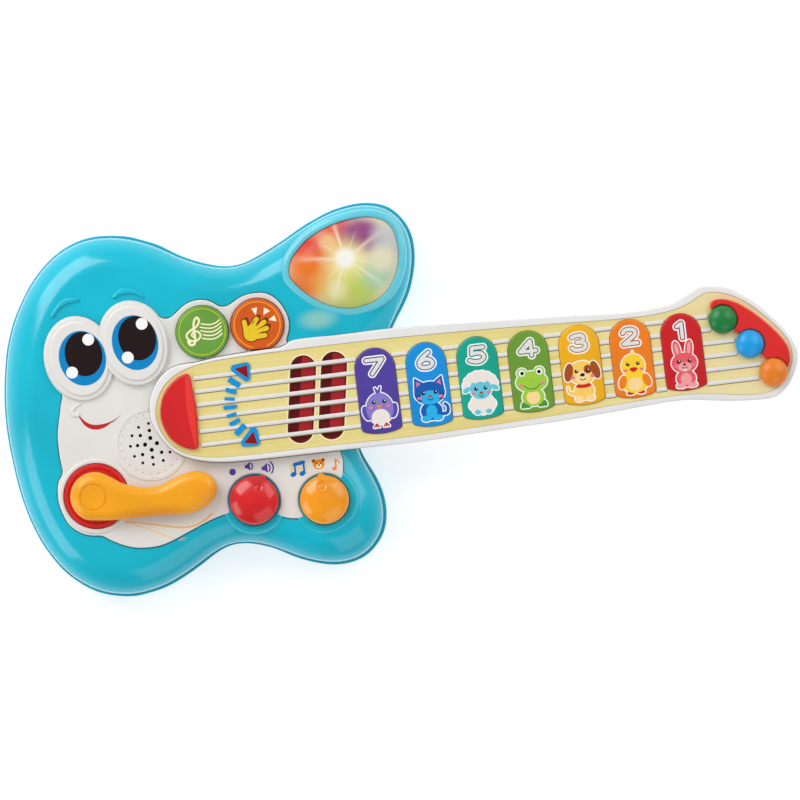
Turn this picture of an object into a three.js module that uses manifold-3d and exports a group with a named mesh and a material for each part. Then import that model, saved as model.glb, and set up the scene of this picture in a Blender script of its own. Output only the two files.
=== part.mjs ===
// Toy electric guitar, lying on its back: +X runs from the body to the head, +Y is across the
// strings, +Z comes out of the front. Millimetres. z = 0 is the flat back of the body.
import * as THREE from 'three';
import { mergeVertices } from 'three/addons/utils/BufferGeometryUtils.js';
import Module from 'manifold-3d';

const wasm = await Module();
wasm.setup();

// ---- driving dimensions -------------------------------------------------------------------
const GAP = 0.35;            // clearance between neighbouring pieces
const WALL = 2.3;            // moulded wall
const Z = {
  seam: 16,                  // split between rear and front body shells
  deck: 38,                  // flat top of the front shell
  panel: 39.4,               // top of the white face panel
  plate: 36.9,               // underside of the face panel's plate
  neckBack: 17,              // back of the neck
  neckSeam: 30,              // split between the neck's two halves
  ceiling: 42.6,             // underside of the neck's deck
  neckDeck: 45,              // floor of the recess that holds the fretboard panel
  rim: 46.6,                 // raised rim of the neck
  board: 46.2,               // top of the fretboard panel
  string: 47,                // top of the string ribs
  key: 47.4,                 // top of the keys
};
const KEY = { pitch: 29.45, x7: -12.7, width: 23.3, travel: 1.5 };
const STRINGS = [15.6, 7.9, 0.2, -7.4, -15.1, -22.9];
const STRING_WIDTH = 2.2;
const GREEN_BUTTON = [-108.9, 41.7], ORANGE_BUTTON = [-77.0, 41.9], BUTTON_R = 15.1, BUTTON_FLAT_Y = 27.9;
const VOLUME = [-90.8, -58.1], MODE = [-50.6, -62.6], KNOB_R = 14.1, RECESS_R = 15, COLLAR_R = 18.2;
const LEVER = [-181.2, -45.0], LEVER_SEAT = [-180.8, -44.8];
const SPEAKER = [-146.0, -18.8];
const TUNERS = [[188.7, 12.7], [202.5, -3.1], [214.2, -20.8]], TUNER_R = 8.2;
const LIGHT = [-22.5, 70.5];
const BAY = { x0: -119.5, x1: -58.5, y0: -22.5, y1: 24.5, z: 18.2 };
const CELL = { r: 7.15, length: 50, z: 9.8, x: -89, y: 1, pitch: 15.2 };
const SHELL_POSTS = [[-190, 78], [-196, -76], [-42, -84], [-66, 71]];
const ROOT_POST = [-31, -2], HEAD_POST = [196, -25];

// ---- outlines -----------------------------------------------------------------------------
const BODY_LINE = [
  -11, 105.8, -1.8, 104.7, 6.9, 101.2, 13.2, 94.3, 17.2, 86.3, 18.4, 77.7, 17.8, 68.5, 15.5, 59.3, 12.6, 51.2, 8, 43.2, 2.8, 35.7,
  -3.5, 25, -10.5, 12, -17, -1, -23, -14, -27, -26, -27.3, -34.5,
  -25, -42, -21.3, -49.4, -17.9, -58, -16.1, -66.7, -16.1, -75.9, -18.4, -85.1, -23.6, -92.5, -30.5, -98.3, -39.1, -101.2, -48.3, -101.7,
  -57, -100, -65.6, -97.1, -74.2, -93.1, -81.7, -88.5, -90.3, -85.1, -98.9, -82.8, -108.1, -82.8, -116.8, -86.2, -124.2, -90.8, -132.3, -95.4,
  -140.3, -99.4, -149, -102.9, -157.6, -104.6, -166.8, -105.8, -176, -104.6, -184.6, -102.3, -192.7, -98.3, -200.1, -92.5, -206.5, -86.2,
  -211.6, -78.7, -216.2, -70.7, -219.7, -62.6, -222.6, -54, -224.9, -44.8, -226.6, -36.2, -227.7, -27.6, -228.6, -18.4, -229.4, -9.2, -229.7, 0,
  -229.5, 8.7, -228.9, 17.9, -227.7, 27.1, -226, 36.3, -224.3, 44.9, -221.4, 53.5, -218, 62.1, -213.4, 70.2, -208.8, 77.7, -203, 85.1,
  -196.7, 91.5, -189.2, 97.2, -181.7, 101.2, -172.5, 104.1, -163.9, 104.9, -154.7, 104.1, -145.5, 102.4, -136.9, 98.9, -128.8, 95.5,
  -121.4, 90.3, -113.3, 85.7, -105.3, 82.3, -96.6, 79.4, -87.4, 78.2, -78.2, 80, -70.2, 83.4, -61.6, 87.4, -53.5, 91.5, -45.5, 96.1,
  -37.4, 99.5, -28.8, 103, -19.6, 104.9,
];
const NECK_LINE = [
  -144.2, -3.5, -144.2, -1, -143.2, 6.7, -140.6, 12.4, -136.8, 17.6, -131.7, 22, -126.5, 24, -120.1, 24.6, -115, 24.7, -101, 26.2, -90, 26.8,
  -75, 27.2, -65, 27.5, -62, 28.5, -60, 30.2, -30, 30.6, 10.9, 30.5, 56.3, 28.2, 101.7, 25.9, 130, 23.8, 145, 24, 154.9, 24.6, 161.4, 25.8,
  166.6, 28.1, 171.9, 30.4, 175.8, 32.5, 179.7, 33.3, 184.3, 33.1, 190.8, 31.7, 196.7, 29.4, 201.9, 25.8, 208.5, 20.6, 215, 14, 220.9, 6.8,
  225.5, 0.3, 228.1, -4.9, 229.7, -10.2, 228.9, -16.7, 226.8, -21.9, 223.5, -27.8, 219.6, -31.8, 215, -34.7, 209.8, -35.7, 201.9, -35.5,
  195.4, -35, 185.6, -34, 175.8, -32.5, 166.6, -31.1, 156.2, -30.6, 143.1, -31.1, 130, -31.9, 95.4, -33.9, 49.4, -35, 4, -36.2, -30, -35.6,
  -50, -35.4, -100, -34.6, -110, -33.6, -120, -31.4, -128, -28, -135, -22.5, -140, -15, -143.4, -8,
];
const BOARD_LINE = [
  -110, 23.6, -90, 24.6, -50, 25.2, 0, 24.9, 40, 23.8, 90, 21.9, 130, 20.1, 150, 20.2, 162.7, 21.7, 169.2, 23.6, 175.8, 26.9, 181, 29.2, 185.6, 29, 192.1, 27.2,
  197.4, 24.9, 203.9, 20.4, 210.4, 14.5, 217, 7.3, 222.2, 0.7, 224.8, -3.8, 226, -8.9, 225.6, -15.4, 223.3, -20.6, 220, -25.9, 215.4, -29.8,
  210.4, -31.8, 201.9, -32.1, 192.1, -31.1, 182.3, -29.5, 172.5, -28.2, 162.7, -27.4, 149.6, -27.5, 130, -28, 95, -30, 49, -31.4, 4, -32.4,
  -50, -31.9, -100, -31.5, -110, -30.8, -119, -29.2, -127, -26.3, -134.4, -20.4, -139.6, -10.4, -140.8, -3.5, -140.2, 1.9, -136, 10.9,
  -130, 16.9, -120, 21.5,
];
const EGG_LINE = [
  -55.2, 69.6, -53.4, 76.1, -49.2, 81.2, -42.7, 86.9, -32.3, 92.1, -21.9, 95, -15, 95.9, -10.1, 96.1, -4.6, 95.5, 1.6, 93.1, 5.8, 89.3,
  7.9, 83.8, 8.7, 76.5, 7.9, 69.2, 5.8, 62.3, 2.3, 56.1, -2.5, 50.9, -8.8, 47.4, -15.7, 45.7, -21.2, 45.1, -27.5, 46, -34.4, 48.4,
  -41.3, 52.3, -47.5, 57.4, -52.4, 63, -54.7, 66.4,
];
const BRIDGE_LINE = [
  -124, 18.1, -130.4, 14, -134.9, 8.6, -137.4, 2.2, -138.2, -3.6, -137.4, -10, -134.9, -15.8, -131, -20.3, -125.9, -23.5,
  -119.4, -24.6, -117.8, -14, -117.2, -3, -117.9, 9, -119.5, 18.5,
];
const LEVER_LINE = [
  -171.4, -34.5, -164.3, -39.4, -154.4, -42.6, -146, -43.3, -138.9, -41.5, -131.9, -38.7, -124.1, -37.3, -117.8, -38.4, -112.8, -42.2,
  -111, -47.1, -112.1, -52.1, -115.6, -56.3, -122, -59.8, -130.4, -61.3, -140.3, -60.5, -154.4, -60.1, -168.5, -59.8, -178.4, -59.1,
];
const BAR_LINE = [
  182.5, 21.9, 183.3, 23.5, 185.6, 24.5, 188.9, 24.6, 193.4, 23.5, 198.7, 20.9, 205.2, 16, 211.8, 9.8, 217.6, 3.2, 221.6, -2.3, 223.9, -6.9,
  224.6, -11.5, 224.3, -15.4, 223.3, -18, 222.3, -19.4, 214, -18, 210.8, -12.8, 207.8, -8.9, 201, -3, 197, 3.2, 194.4, 5.5, 189, 13, 183, 18.9,
];
const LEFT_BROW = [-195.1, 60.2, -192.6, 64.4, -187.4, 69.2, -183, 70.4, -177.2, 69.2, -177.2, 68.2, -184.2, 67.2, -189.4, 64.7, -194, 60];
const RIGHT_BROW = [-158.1, 67.6, -154.1, 71.4, -150.3, 72.4, -145.8, 70.8, -142.6, 68.5, -139.7, 66, -140.2, 65.4, -144.5, 67.9, -149.6, 68.8, -153.5, 68.5, -157.6, 66.8];
const MOUTH = [-185.2, 2.2, -181.7, -1.7, -177.8, -3.9, -173.3, -4.2, -168.8, -3.6, -165.3, -2.6, -168.8, -4.9, -171.4, -6.2, -175.3, -6.9, -179.1, -6.2, -182.3, -3.9, -184.2, -1];
const LEFT_EYE = { c: [-181, 34.7], r: [19.4, 24.1], tilt: 8 };
const RIGHT_EYE = { c: [-149, 39.8], r: [19.4, 24.2], tilt: 8 };

const arc = (c, r, a0, a1, n) => Array.from({ length: n + 1 }, (_, i) => {
  const a = THREE.MathUtils.degToRad(a0 + (a1 - a0) * i / n);
  return [c[0] + r * Math.cos(a), c[1] + r * Math.sin(a)];
}).flat();
const PANEL_EDGE = [
  -61.6, 30.1, -59.6, 36.1, -58.8, 41.7, -59.9, 47.4, -64.2, 55.1, -69.8, 59.3, -76.8, 60.3, -83.9, 59.3, -89.5, 56.5, -93.1, 54.8, -97.3, 55.1,
  -101, 57.8, -105, 59.7, -110, 60.3, -116, 59, -121.5, 55.5, -126.5, 52, -131, 52.3,
  -135.5, 56.8, -142.5, 62.5, -150.3, 64, -158, 61.5, -163.8, 56.5, -167.4, 52.2, -171, 55.5, -176, 58, -182, 58.8, -189, 56.5, -195, 51,
  -199, 44, -200.4, 36.5, -199.5, 28, -196.5, 21, -193.4, 16, -195.1, 9.2, -196.7, 2.2, -198.2, -3.6, -199, -9.4, -199.1, -20.3, -198.6, -29.5,
  -201.7, -34.5, -202.9, -44.3, -201.7, -51.4, -198.1, -59.8, -191.1, -65.5, -185.5, -67.3, -180.5, -67.9, -175.6, -71.1, -168.5, -74.9,
  -161.5, -77.2, -154.4, -77.9, -147.4, -77.5, -140.3, -75.6, -133.3, -72.8, -126.2, -70, -119.2, -67.2, -112.1, -64.9,
];
const PANEL_END = [-37.4, -41.5, -38.5, -35.6, -45, 0];
const PANEL_HOLE_R = 15.35;  // the panel stops round the upper part of each knob
const PANEL_LINE = [...PANEL_EDGE, ...arc(VOLUME, PANEL_HOLE_R, 199, -38, 14), -72.6, -70.6, -67.7, -71.4, ...arc(MODE, PANEL_HOLE_R, 213, 44, 10), ...PANEL_END];
const POCKET_LINE = [...PANEL_EDGE, ...arc(VOLUME, PANEL_HOLE_R, 190, 10, 10), ...arc(MODE, PANEL_HOLE_R, 168, 52, 7), ...PANEL_END];

// ---- helpers ------------------------------------------------------------------------------
const vec = (flat) => {
  const p = [];
  for (let i = 0; i < flat.length; i += 2) p.push(new THREE.Vector2(flat[i], flat[i + 1]));
  return THREE.ShapeUtils.isClockWise(p) ? p.reverse() : p;
};
// Evenly spaced points on the smooth closed curve through a line's points.
const smooth = (flat, n) => {
  const c = new THREE.CatmullRomCurve3(vec(flat).map((p) => new THREE.Vector3(p.x, p.y, 0)), true, 'centripetal');
  c.arcLengthDivisions = 800;
  return c.getSpacedPoints(n).slice(0, n).map((p) => new THREE.Vector2(p.x, p.y));
};
// Each point moved along its own normal: inwards when d is positive.
const inset = (pts, d) => pts.map((p, i) => {
  const a = pts[(i + pts.length - 1) % pts.length], b = pts[(i + 1) % pts.length];
  const u = p.clone().sub(a).normalize(), v = b.clone().sub(p).normalize(), t = u.clone().add(v).normalize();
  const k = d / Math.max(0.5, Math.abs(t.dot(v)));
  return new THREE.Vector2(p.x - t.y * k, p.y + t.x * k);
});
// Points that a chord may skip within the tolerance.
const thin = (pts, tol) => {
  const keep = new Array(pts.length).fill(false);
  const walk = (i, j) => {
    let worst = 0, at = -1;
    const a = pts[i], b = pts[j % pts.length], d = b.clone().sub(a), l = d.length() || 1;
    for (let k = i + 1; k < j; k++) {
      const e = Math.abs(d.x * (pts[k].y - a.y) - d.y * (pts[k].x - a.x)) / l;
      if (e > worst) [worst, at] = [e, k];
    }
    if (worst > tol) { walk(i, at); keep[at] = true; walk(at, j); }
  };
  const half = pts.length >> 1;
  keep[0] = keep[half] = true;
  walk(0, half);
  walk(half, pts.length);
  return pts.filter((_, i) => keep[i]);
};
const scaled = (pts, c, s) => pts.map((p) => new THREE.Vector2(c[0] + (p.x - c[0]) * s, c[1] + (p.y - c[1]) * s));

function solid(geometry) {
  let g = geometry.clone();
  for (const name of Object.keys(g.attributes)) if (name !== 'position') g.deleteAttribute(name);
  g = mergeVertices(g, 1e-4);
  const v = g.attributes.position.array, t = Uint32Array.from(g.index.array), keep = [];
  let volume = 0;
  for (let i = 0; i < t.length; i += 3) {
    if (t[i] === t[i + 1] || t[i + 1] === t[i + 2] || t[i] === t[i + 2]) continue;
    keep.push(t[i], t[i + 1], t[i + 2]);
    const [a, b, c] = [0, 1, 2].map((k) => new THREE.Vector3().fromArray(v, t[i + k] * 3));
    volume += a.dot(b.cross(c));
  }
  if (volume < 0) for (let i = 0; i < keep.length; i += 3) [keep[i + 1], keep[i + 2]] = [keep[i + 2], keep[i + 1]];
  return new wasm.Manifold(new wasm.Mesh({ numProp: 3, vertProperties: Float32Array.from(v), triVerts: Uint32Array.from(keep) }));
}
const prism = (pts, z0, z1) => {
  const g = new THREE.ExtrudeGeometry(new THREE.Shape(pts), { depth: z1 - z0, bevelEnabled: false });
  return solid(g.translate(0, 0, z0));
};
// A skin through rings of equal point count, closed by a flat cap at each end.
const loft = (rings) => {
  const n = rings[0][0].length, pos = [], idx = [];
  for (const [pts, z] of rings) for (const p of pts) pos.push(p.x, p.y, z);
  for (let r = 0; r + 1 < rings.length; r++) for (let i = 0; i < n; i++) {
    const a = r * n + i, b = r * n + (i + 1) % n;
    idx.push(a, b, b + n, a, b + n, a + n);
  }
  for (const [a, b, c] of THREE.ShapeUtils.triangulateShape(rings[0][0], [])) idx.push(a, c, b);
  const last = (rings.length - 1) * n;
  for (const [a, b, c] of THREE.ShapeUtils.triangulateShape(rings[rings.length - 1][0], [])) idx.push(last + a, last + b, last + c);
  const g = new THREE.BufferGeometry();
  g.setAttribute('position', new THREE.Float32BufferAttribute(pos, 3));
  g.setIndex(idx);
  return solid(g);
};
const disc = (c, r, z0, z1, n = 24) => {
  const g = new THREE.CylinderGeometry(r, r, z1 - z0, n);
  return solid(g.rotateX(Math.PI / 2).translate(c[0], c[1], (z0 + z1) / 2));
};
const box = (x0, x1, y0, y1, z0, z1) => solid(new THREE.BoxGeometry(x1 - x0, y1 - y0, z1 - z0).translate((x0 + x1) / 2, (y0 + y1) / 2, (z0 + z1) / 2));
// profile: [radius, z] pairs, turned about a vertical axis
const turned = (c, profile, n = 24) => {
  const g = new THREE.LatheGeometry(profile.map(([r, z]) => new THREE.Vector2(r, z)), n);
  return solid(g.rotateX(Math.PI / 2).translate(c[0], c[1], 0));
};
const ellipse = (e, d, n = 18) => {
  const a = THREE.MathUtils.degToRad(e.tilt), out = [];
  for (let i = 0; i < n; i++) {
    const t = i / n * Math.PI * 2, x = (e.r[0] - d) * Math.cos(t), y = (e.r[1] - d) * Math.sin(t);
    out.push(new THREE.Vector2(e.c[0] + x * Math.cos(a) - y * Math.sin(a), e.c[1] + x * Math.sin(a) + y * Math.cos(a)));
  }
  return out;
};
const roundRect = (x0, x1, y0, y1, r, n = 3) => vec([
  ...arc([x1 - r, y1 - r], r, 0, 90, n), ...arc([x0 + r, y1 - r], r, 90, 180, n), ...arc([x0 + r, y0 + r], r, 180, 270, n), ...arc([x1 - r, y0 + r], r, 270, 360, n),
]);
const join = (...s) => s.reduce((a, b) => a.add(b));
const cut = (s, ...tools) => tools.reduce((a, b) => a.subtract(b), s);

const guitar = new THREE.Group();
function piece(name, shape, color, roughness = 0.35, metalness = 0) {
  const m = shape.getMesh(), g = new THREE.BufferGeometry();
  g.setAttribute('position', new THREE.Float32BufferAttribute(Float32Array.from(m.vertProperties), 3));
  g.setIndex(new THREE.Uint32BufferAttribute(Uint32Array.from(m.triVerts), 1));
  g.computeVertexNormals();
  const mesh = new THREE.Mesh(g, new THREE.MeshStandardMaterial({ color, roughness, metalness }));
  mesh.name = name;
  guitar.add(mesh);
}

// ---- shared outlines ----------------------------------------------------------------------
const body = smooth(BODY_LINE, 50);
const neck = thin(vec(NECK_LINE), 0.35), board = thin(vec(BOARD_LINE), 0.35), panel = thin(vec(PANEL_LINE), 0.3), egg = smooth(EGG_LINE, 20);
const neckBodyEnd = -39.6;   // the neck's lower half starts here, inside the body
const beyond = (x) => box(x, 260, -80, 80, -5, 80);
const faceArea = (d, dn, z0, z1, line = panel) => cut(prism(inset(line, d), z0, z1), prism(inset(neck, -dn), z0 - 1, z1 + 1));

// ---- rear shell ---------------------------------------------------------------------------
const seamBand = 1.8;        // the rear shell's rim stands this far outside the front shell
{
  let s = loft([[inset(body, 7), 0], [inset(body, 2.2), 1.6], [body, 6.5], [body, Z.seam]]);
  s = s.subtract(loft([[inset(body, 8.4), 2.4], [inset(body, 3.9), 4], [inset(body, 2.5), 8], [inset(body, 2.5), 17]]));
  s = s.add(box(BAY.x0 - 3.8, BAY.x1 + 3.8, BAY.y0 - 3.8, BAY.y1 + 3.8, 0.5, BAY.z + 1.8));
  s = s.add(disc([-49.5, 2], 5.9, 0.5, 15));
  for (const p of SHELL_POSTS) s = s.add(disc(p, 4.6, 0.5, 20, 10));
  s = s.add(disc(ROOT_POST, 4.6, 0.5, 16.6, 12));
  s = s.subtract(box(BAY.x0, BAY.x1, BAY.y0, BAY.y1, -1, BAY.z));
  s = s.subtract(prism(roundRect(BAY.x0 - 2, BAY.x1 + 2, BAY.y0 - 2, BAY.y1 + 2, 4), -1, 2.1));
  s = s.subtract(prism(roundRect(-62, -43, -5, 9, 3), -1, 2.1));
  s = s.subtract(disc([-49.5, 2], 1.6, 1, 13.5, 16));
  for (const p of SHELL_POSTS) s = cut(s, disc(p, 3.3, -1, 12, 10), disc(p, 1.7, 11, 21, 8));
  s = cut(s, disc(ROOT_POST, 3.3, -1, 11, 12), disc(ROOT_POST, 1.7, 10, 18, 10));
  piece('rear_shell', s, 0x0aa0c4, 0.3);
}

// ---- battery box --------------------------------------------------------------------------
{
  const g = GAP;
  let s = join(prism(roundRect(BAY.x0 - 2 + g, BAY.x1 + 2 - g, BAY.y0 - 2 + g, BAY.y1 + 2 - g, 3.7), 0.25, 1.8), prism(roundRect(-62, -43 - g, -5 + g, 9 - g, 2.7), 0.25, 1.8));
  s = cut(s, disc([-49.5, 2], 3.2, 0, 1, 20), disc([-49.5, 2], 1.7, 0, 3, 16));
  for (let i = 0; i < 3; i++) s = s.subtract(box(-68 - i * 4, -66.4 - i * 4, -8, 12, 0, 0.8));
  piece('battery_door', s, 0x0aa0c4, 0.35);
  piece('door_screw', cut(join(disc([-49.5, 2], 2.7, 0.3, 0.7, 16), disc([-49.5, 2], 1.25, 0.5, 11, 12))), 0xb8bcc0, 0.3, 0.9);
  [-1, 0, 1].forEach((k, i) => {
    const dir = i % 2 ? -1 : 1;
    const c = new THREE.LatheGeometry([[0, -25], [7.15, -25], [7.15, 23.9], [2.7, 23.9], [2.7, 25], [0, 25]].map(([r, z]) => new THREE.Vector2(r, z)), 14);
    piece(`battery_${i + 1}`, solid(c.rotateZ(-dir * Math.PI / 2).translate(CELL.x, CELL.y + k * CELL.pitch, CELL.z)), 0x3a3f45, 0.35, 0.4);
  });
  for (const [name, x, dir] of [['battery_contact_left', BAY.x0 + 0.35, 1], ['battery_contact_right', BAY.x1 - 0.35, -1]]) {
    let s = box(Math.min(x, x + dir * 0.5), Math.max(x, x + dir * 0.5), -20.5, 22.5, 4, 16);
    [-1, 0, 1].forEach((k) => {
      // one spring cone for each cell
      const c = new THREE.CylinderGeometry(1.8, 3.2, 4.2, 12);
      s = s.add(solid(c.rotateZ(-dir * Math.PI / 2).translate(x + dir * 2.5, CELL.y + k * CELL.pitch, CELL.z)));
    });
    piece(name, s, 0xc9cdd1, 0.3, 0.9);
  }
}

// ---- front shell --------------------------------------------------------------------------
{
  const b = (d) => inset(body, d);
  let s = loft([[b(seamBand), Z.seam + 0.3], [b(1.7), 25], [b(4), 30], [b(8.6), 34.3], [b(14), 37], [b(19), Z.deck]]);
  s = s.subtract(loft([[b(seamBand + WALL), 15], [b(4.3), 25], [b(7.6), 30], [b(13), 34], [b(19), 35.6]]));
  // bosses and collars
  s = s.add(prism(inset(egg, -3), 31, 38.6));
  for (const c of [VOLUME, MODE]) s = s.add(disc(c, COLLAR_R, 32.5, 39.2, 24));
  SHELL_POSTS.forEach((p, i) => { s = s.add(disc(p, 4, 20.35, i === 3 ? 35 : 36, 8)); });
  s = join(s, prism(vec(LEFT_BROW), 36, 39.8), prism(vec(RIGHT_BROW), 36, 39.8));
  // openings
  for (const p of SHELL_POSTS) s = s.subtract(disc(p, 1.6, 20, 33, 8));
  for (const c of [VOLUME, MODE]) s = s.subtract(disc(c, RECESS_R + 0.25, 30, 45, 28));
  s = s.subtract(prism(inset(egg, -GAP), 20, 45));
  s = s.subtract(faceArea(-GAP, 0, 30, 45));
  s = s.subtract(prism(inset(neck, 5), 30, 45));
  s = s.subtract(prism(inset(neck, -GAP), 15, 50).intersect(beyond(neckBodyEnd - GAP)));
  piece('front_shell', s, 0x06b4d4, 0.22);
}

// ---- face panel ---------------------------------------------------------------------------
{
  let s = faceArea(0, GAP, 33.4, Z.panel).subtract(faceArea(2.2, GAP + 2.2, 33, Z.plate, thin(vec(POCKET_LINE), 0.5)));
  s = join(s, prism(ellipse(LEFT_EYE, 0), 37.4, 41.6), prism(ellipse(LEFT_EYE, 2.7), 40, 42.9));
  s = join(s, prism(ellipse(RIGHT_EYE, 0), 37.4, 42.8), prism(ellipse(RIGHT_EYE, 2.7), 41, 44.1));
  s = s.intersect(join(faceArea(0, GAP, 30, 50), prism(ellipse(RIGHT_EYE, 0.3), 39, 50)));
  s = join(s, disc(LEVER_SEAT, 22, 37.4, 40.6, 28).intersect(faceArea(0, GAP, 30, 50)));
  s = join(s, cut(disc(SPEAKER, 21.4, 37.4, 40, 24), disc(SPEAKER, 18.8, 37, 41, 24), prism(inset(neck, -GAP), 30, 50)));
  s = cut(s, disc(LEVER_SEAT, 18.95, 30, 45, 24), disc(GREEN_BUTTON, BUTTON_R + GAP, 30, 45, 24), disc(GREEN_BUTTON, 16.5, 30, Z.plate, 24));
  s = cut(s, disc(ORANGE_BUTTON, BUTTON_R + GAP, 30, 45, 24), disc(ORANGE_BUTTON, 16.5, 30, Z.plate, 24));
  s = s.subtract(prism(vec(MOUTH), 38.8, 42));
  s = s.subtract(disc(SPEAKER, 20.7, 30, Z.plate, 24));
  const holes = [[3.4, 4, 0, 1.25], [7.7, 8, 0, 1.15], [11.9, 12, 0, 0.95]];
  for (const [r, n, a0, hr] of holes) for (let i = 0; i < n; i++) {
    const a = THREE.MathUtils.degToRad(a0 + i * 360 / n), c = [SPEAKER[0] + r * Math.cos(a), SPEAKER[1] + r * Math.sin(a)];
    if (c[0] > -143 && c[1] > -14) continue;      // hidden by the neck's end
    if (Math.hypot(c[0] + 121, c[1] - 1) < 28.5) continue;
    s = s.subtract(disc(c, hr, 36, 41, 5));
  }
  piece('face_panel', s, 0xece9e4, 0.3);
}

// ---- neck ---------------------------------------------------------------------------------
const keyX = (n) => KEY.x7 + (7 - n) * KEY.pitch;
const mix = (a, b, n) => a + (b - a) * (7 - n) / 6;
const keyLine = (n) => {
  const x = keyX(n), r = KEY.width / 2, top = mix(20.6, 19.1, n), low = mix(-28.7, -25.2, n), corner = mix(-26.35, -22.9, n);
  return vec([...arc([x, top - r], r, 0, 180, 7), x - r, corner + 0.9, x - r + 0.8, corner - 0.1, x - r / 2, low + 0.55, x, low, x + r / 2, low + 0.55, x + r - 0.8, corner - 0.1, x + r, corner + 0.9]);
};
const slotLine = (dx) => {
  const h = 7.4, top = [-53.6 + dx, 13.9], low = [-59.4 + dx, -21.3];
  return vec([...arc(top, h, -9, 171, 5), ...arc(low, h, 171, 351, 5)]);
};
const slots = [slotLine(0), slotLine(17.9)];
{
  const n = (d) => inset(neck, d);
  let s = loft([[n(0), 38.35], [n(0), 45.2], [n(1.2), Z.rim]]);
  s = s.add(prism(n(0), Z.neckSeam + 0.3, 40).intersect(beyond(neckBodyEnd)));
  s = s.subtract(prism(n(2.4), 25, Z.ceiling));
  s = s.subtract(prism(inset(board, -GAP), Z.neckDeck, 50));
  for (let k = 1; k <= 7; k++) s = s.subtract(prism(inset(keyLine(k), -GAP), 40, 50));
  for (const q of slots) s = s.subtract(prism(q, 40, 50));
  s = s.add(disc(HEAD_POST, 4, 27.4, 43));
  s = s.subtract(disc(HEAD_POST, 1.6, 27, 40, 16));
  for (const t of TUNERS) s = s.subtract(disc(t, 3.1, 40, 50, 16));
  piece('neck_front_shell', s, 0xf2f2f0, 0.28);
}
{
  const n = (d) => inset(neck, d);
  let s = loft([[n(4.2), Z.neckBack], [n(0.8), 19.4], [n(0), 23], [n(0), Z.neckSeam]]);
  s = s.subtract(loft([[n(5), 19.4], [n(2.8), 21.4], [n(2.4), 24], [n(2.4), 31]]));
  s = s.intersect(beyond(neckBodyEnd));
  s = join(s, disc(HEAD_POST, 4.6, 17.4, 27), disc(ROOT_POST, 4.2, 17.4, 27));
  s = cut(s, disc(HEAD_POST, 3.3, 16, 24, 20), disc(HEAD_POST, 1.7, 23, 28, 16), disc(ROOT_POST, 1.6, 16, 25, 16));
  piece('neck_rear_shell', s, 0xf2f2f0, 0.3);
}
{
  let s = prism(board, 45.3, Z.board);
  for (const q of slots) s = s.subtract(prism(inset(q, 0), 40, 50));
  STRINGS.forEach((y, i) => {
    const t = TUNERS[i >> 1], end = t[0] - Math.sqrt(Math.max(0, TUNER_R ** 2 - (y - t[1]) ** 2)) - 0.7;
    s = s.add(box(-116.8, end, y - STRING_WIDTH / 2, y + STRING_WIDTH / 2, 45.4, Z.string));
  });
  for (let k = 1; k <= 7; k++) s = s.subtract(prism(inset(keyLine(k), -GAP), 40, 50));
  for (const t of TUNERS) s = s.subtract(disc(t, 3.5, 40, 50, 10));
  piece('fretboard_panel', s, 0xe9d793, 0.4);
  slots.forEach((q, i) => {
    const w = join(prism(inset(q, GAP), 41, 44.6), prism(inset(q, -1.2), 40.6, 42.2));
    piece(`strum_window_${i + 1}`, w, 0xb3121d, 0.15);
  });
  piece('strum_board', prism(roundRect(-70, -43, -26, 20, 2), 37.4, 38.6), 0x2f7d3b, 0.5);
  const cap = (d) => inset(vec(BRIDGE_LINE), d);
  piece('bridge_cap', loft([[cap(0), 46.5], [cap(0), 47.9], [cap(0.4), 48.6], [cap(1.2), 49]]), 0xd62024, 0.25);
}

// ---- keys ---------------------------------------------------------------------------------
const KEY_COLOURS = { 7: 0x51409c, 6: 0x0093dd, 5: 0x00a791, 4: 0x5c9e3c, 3: 0xeeb00d, 2: 0xf08214, 1: 0xc8161e };
for (let k = 7; k >= 1; k--) {
  const q = keyLine(k), y = mix(-4, -3, k);
  const s = join(
    loft([[q, 41.2], [q, 46.6], [inset(q, 0.7), Z.key]]), prism(inset(q, -1.2), 40.9, 42.25),
    disc([keyX(k), y], 3, 39.2, 41, 8),
  );
  piece(`key_${k}`, s, KEY_COLOURS[k], 0.3);
}
{
  let s = prism(roundRect(-25, 176, -22, 14, 2), 34.9, 36);
  for (let k = 1; k <= 7; k++) s = s.add(disc([keyX(k), mix(-4, -3, k)], 4, 35.5, 37.4, 8));
  piece('key_membrane', s, 0xd9dbdb, 0.7);
  piece('key_board', prism(roundRect(-26, 177, -24, 16, 2), 33, 34.6), 0x2f7d3b, 0.5);
}

// ---- round buttons ------------------------------------------------------------------------
for (const [name, c, colour, flat] of [['green_button', GREEN_BUTTON, 0x5ca43c, false], ['orange_button', ORANGE_BUTTON, 0xe25c24, true]]) {
  let s = join(
    turned(c, [[0, 35.4], [BUTTON_R, 35.4], [BUTTON_R, 41.6], [14.4, 42.5], [0, 42.5]], 24),
    disc(c, 15.78, 35, 36.5, 24), disc(c, 3.5, 33.4, 36, 8),
  );
  if (flat) s = s.intersect(box(-110, -40, BUTTON_FLAT_Y, 80, 20, 60));
  piece(name, s, colour, 0.3);
}
{
  let s = prism(roundRect(-126, -60.5, 29.2, 54, 2), 26, 27.6);
  for (const c of [GREEN_BUTTON, ORANGE_BUTTON]) s = join(s, box(c[0] - 4, c[0] + 4, c[1] - 4, c[1] + 4, 27, 30), disc(c, 2, 29, 31, 12));
  piece('button_board', s, 0x2f7d3b, 0.5);
}

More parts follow.
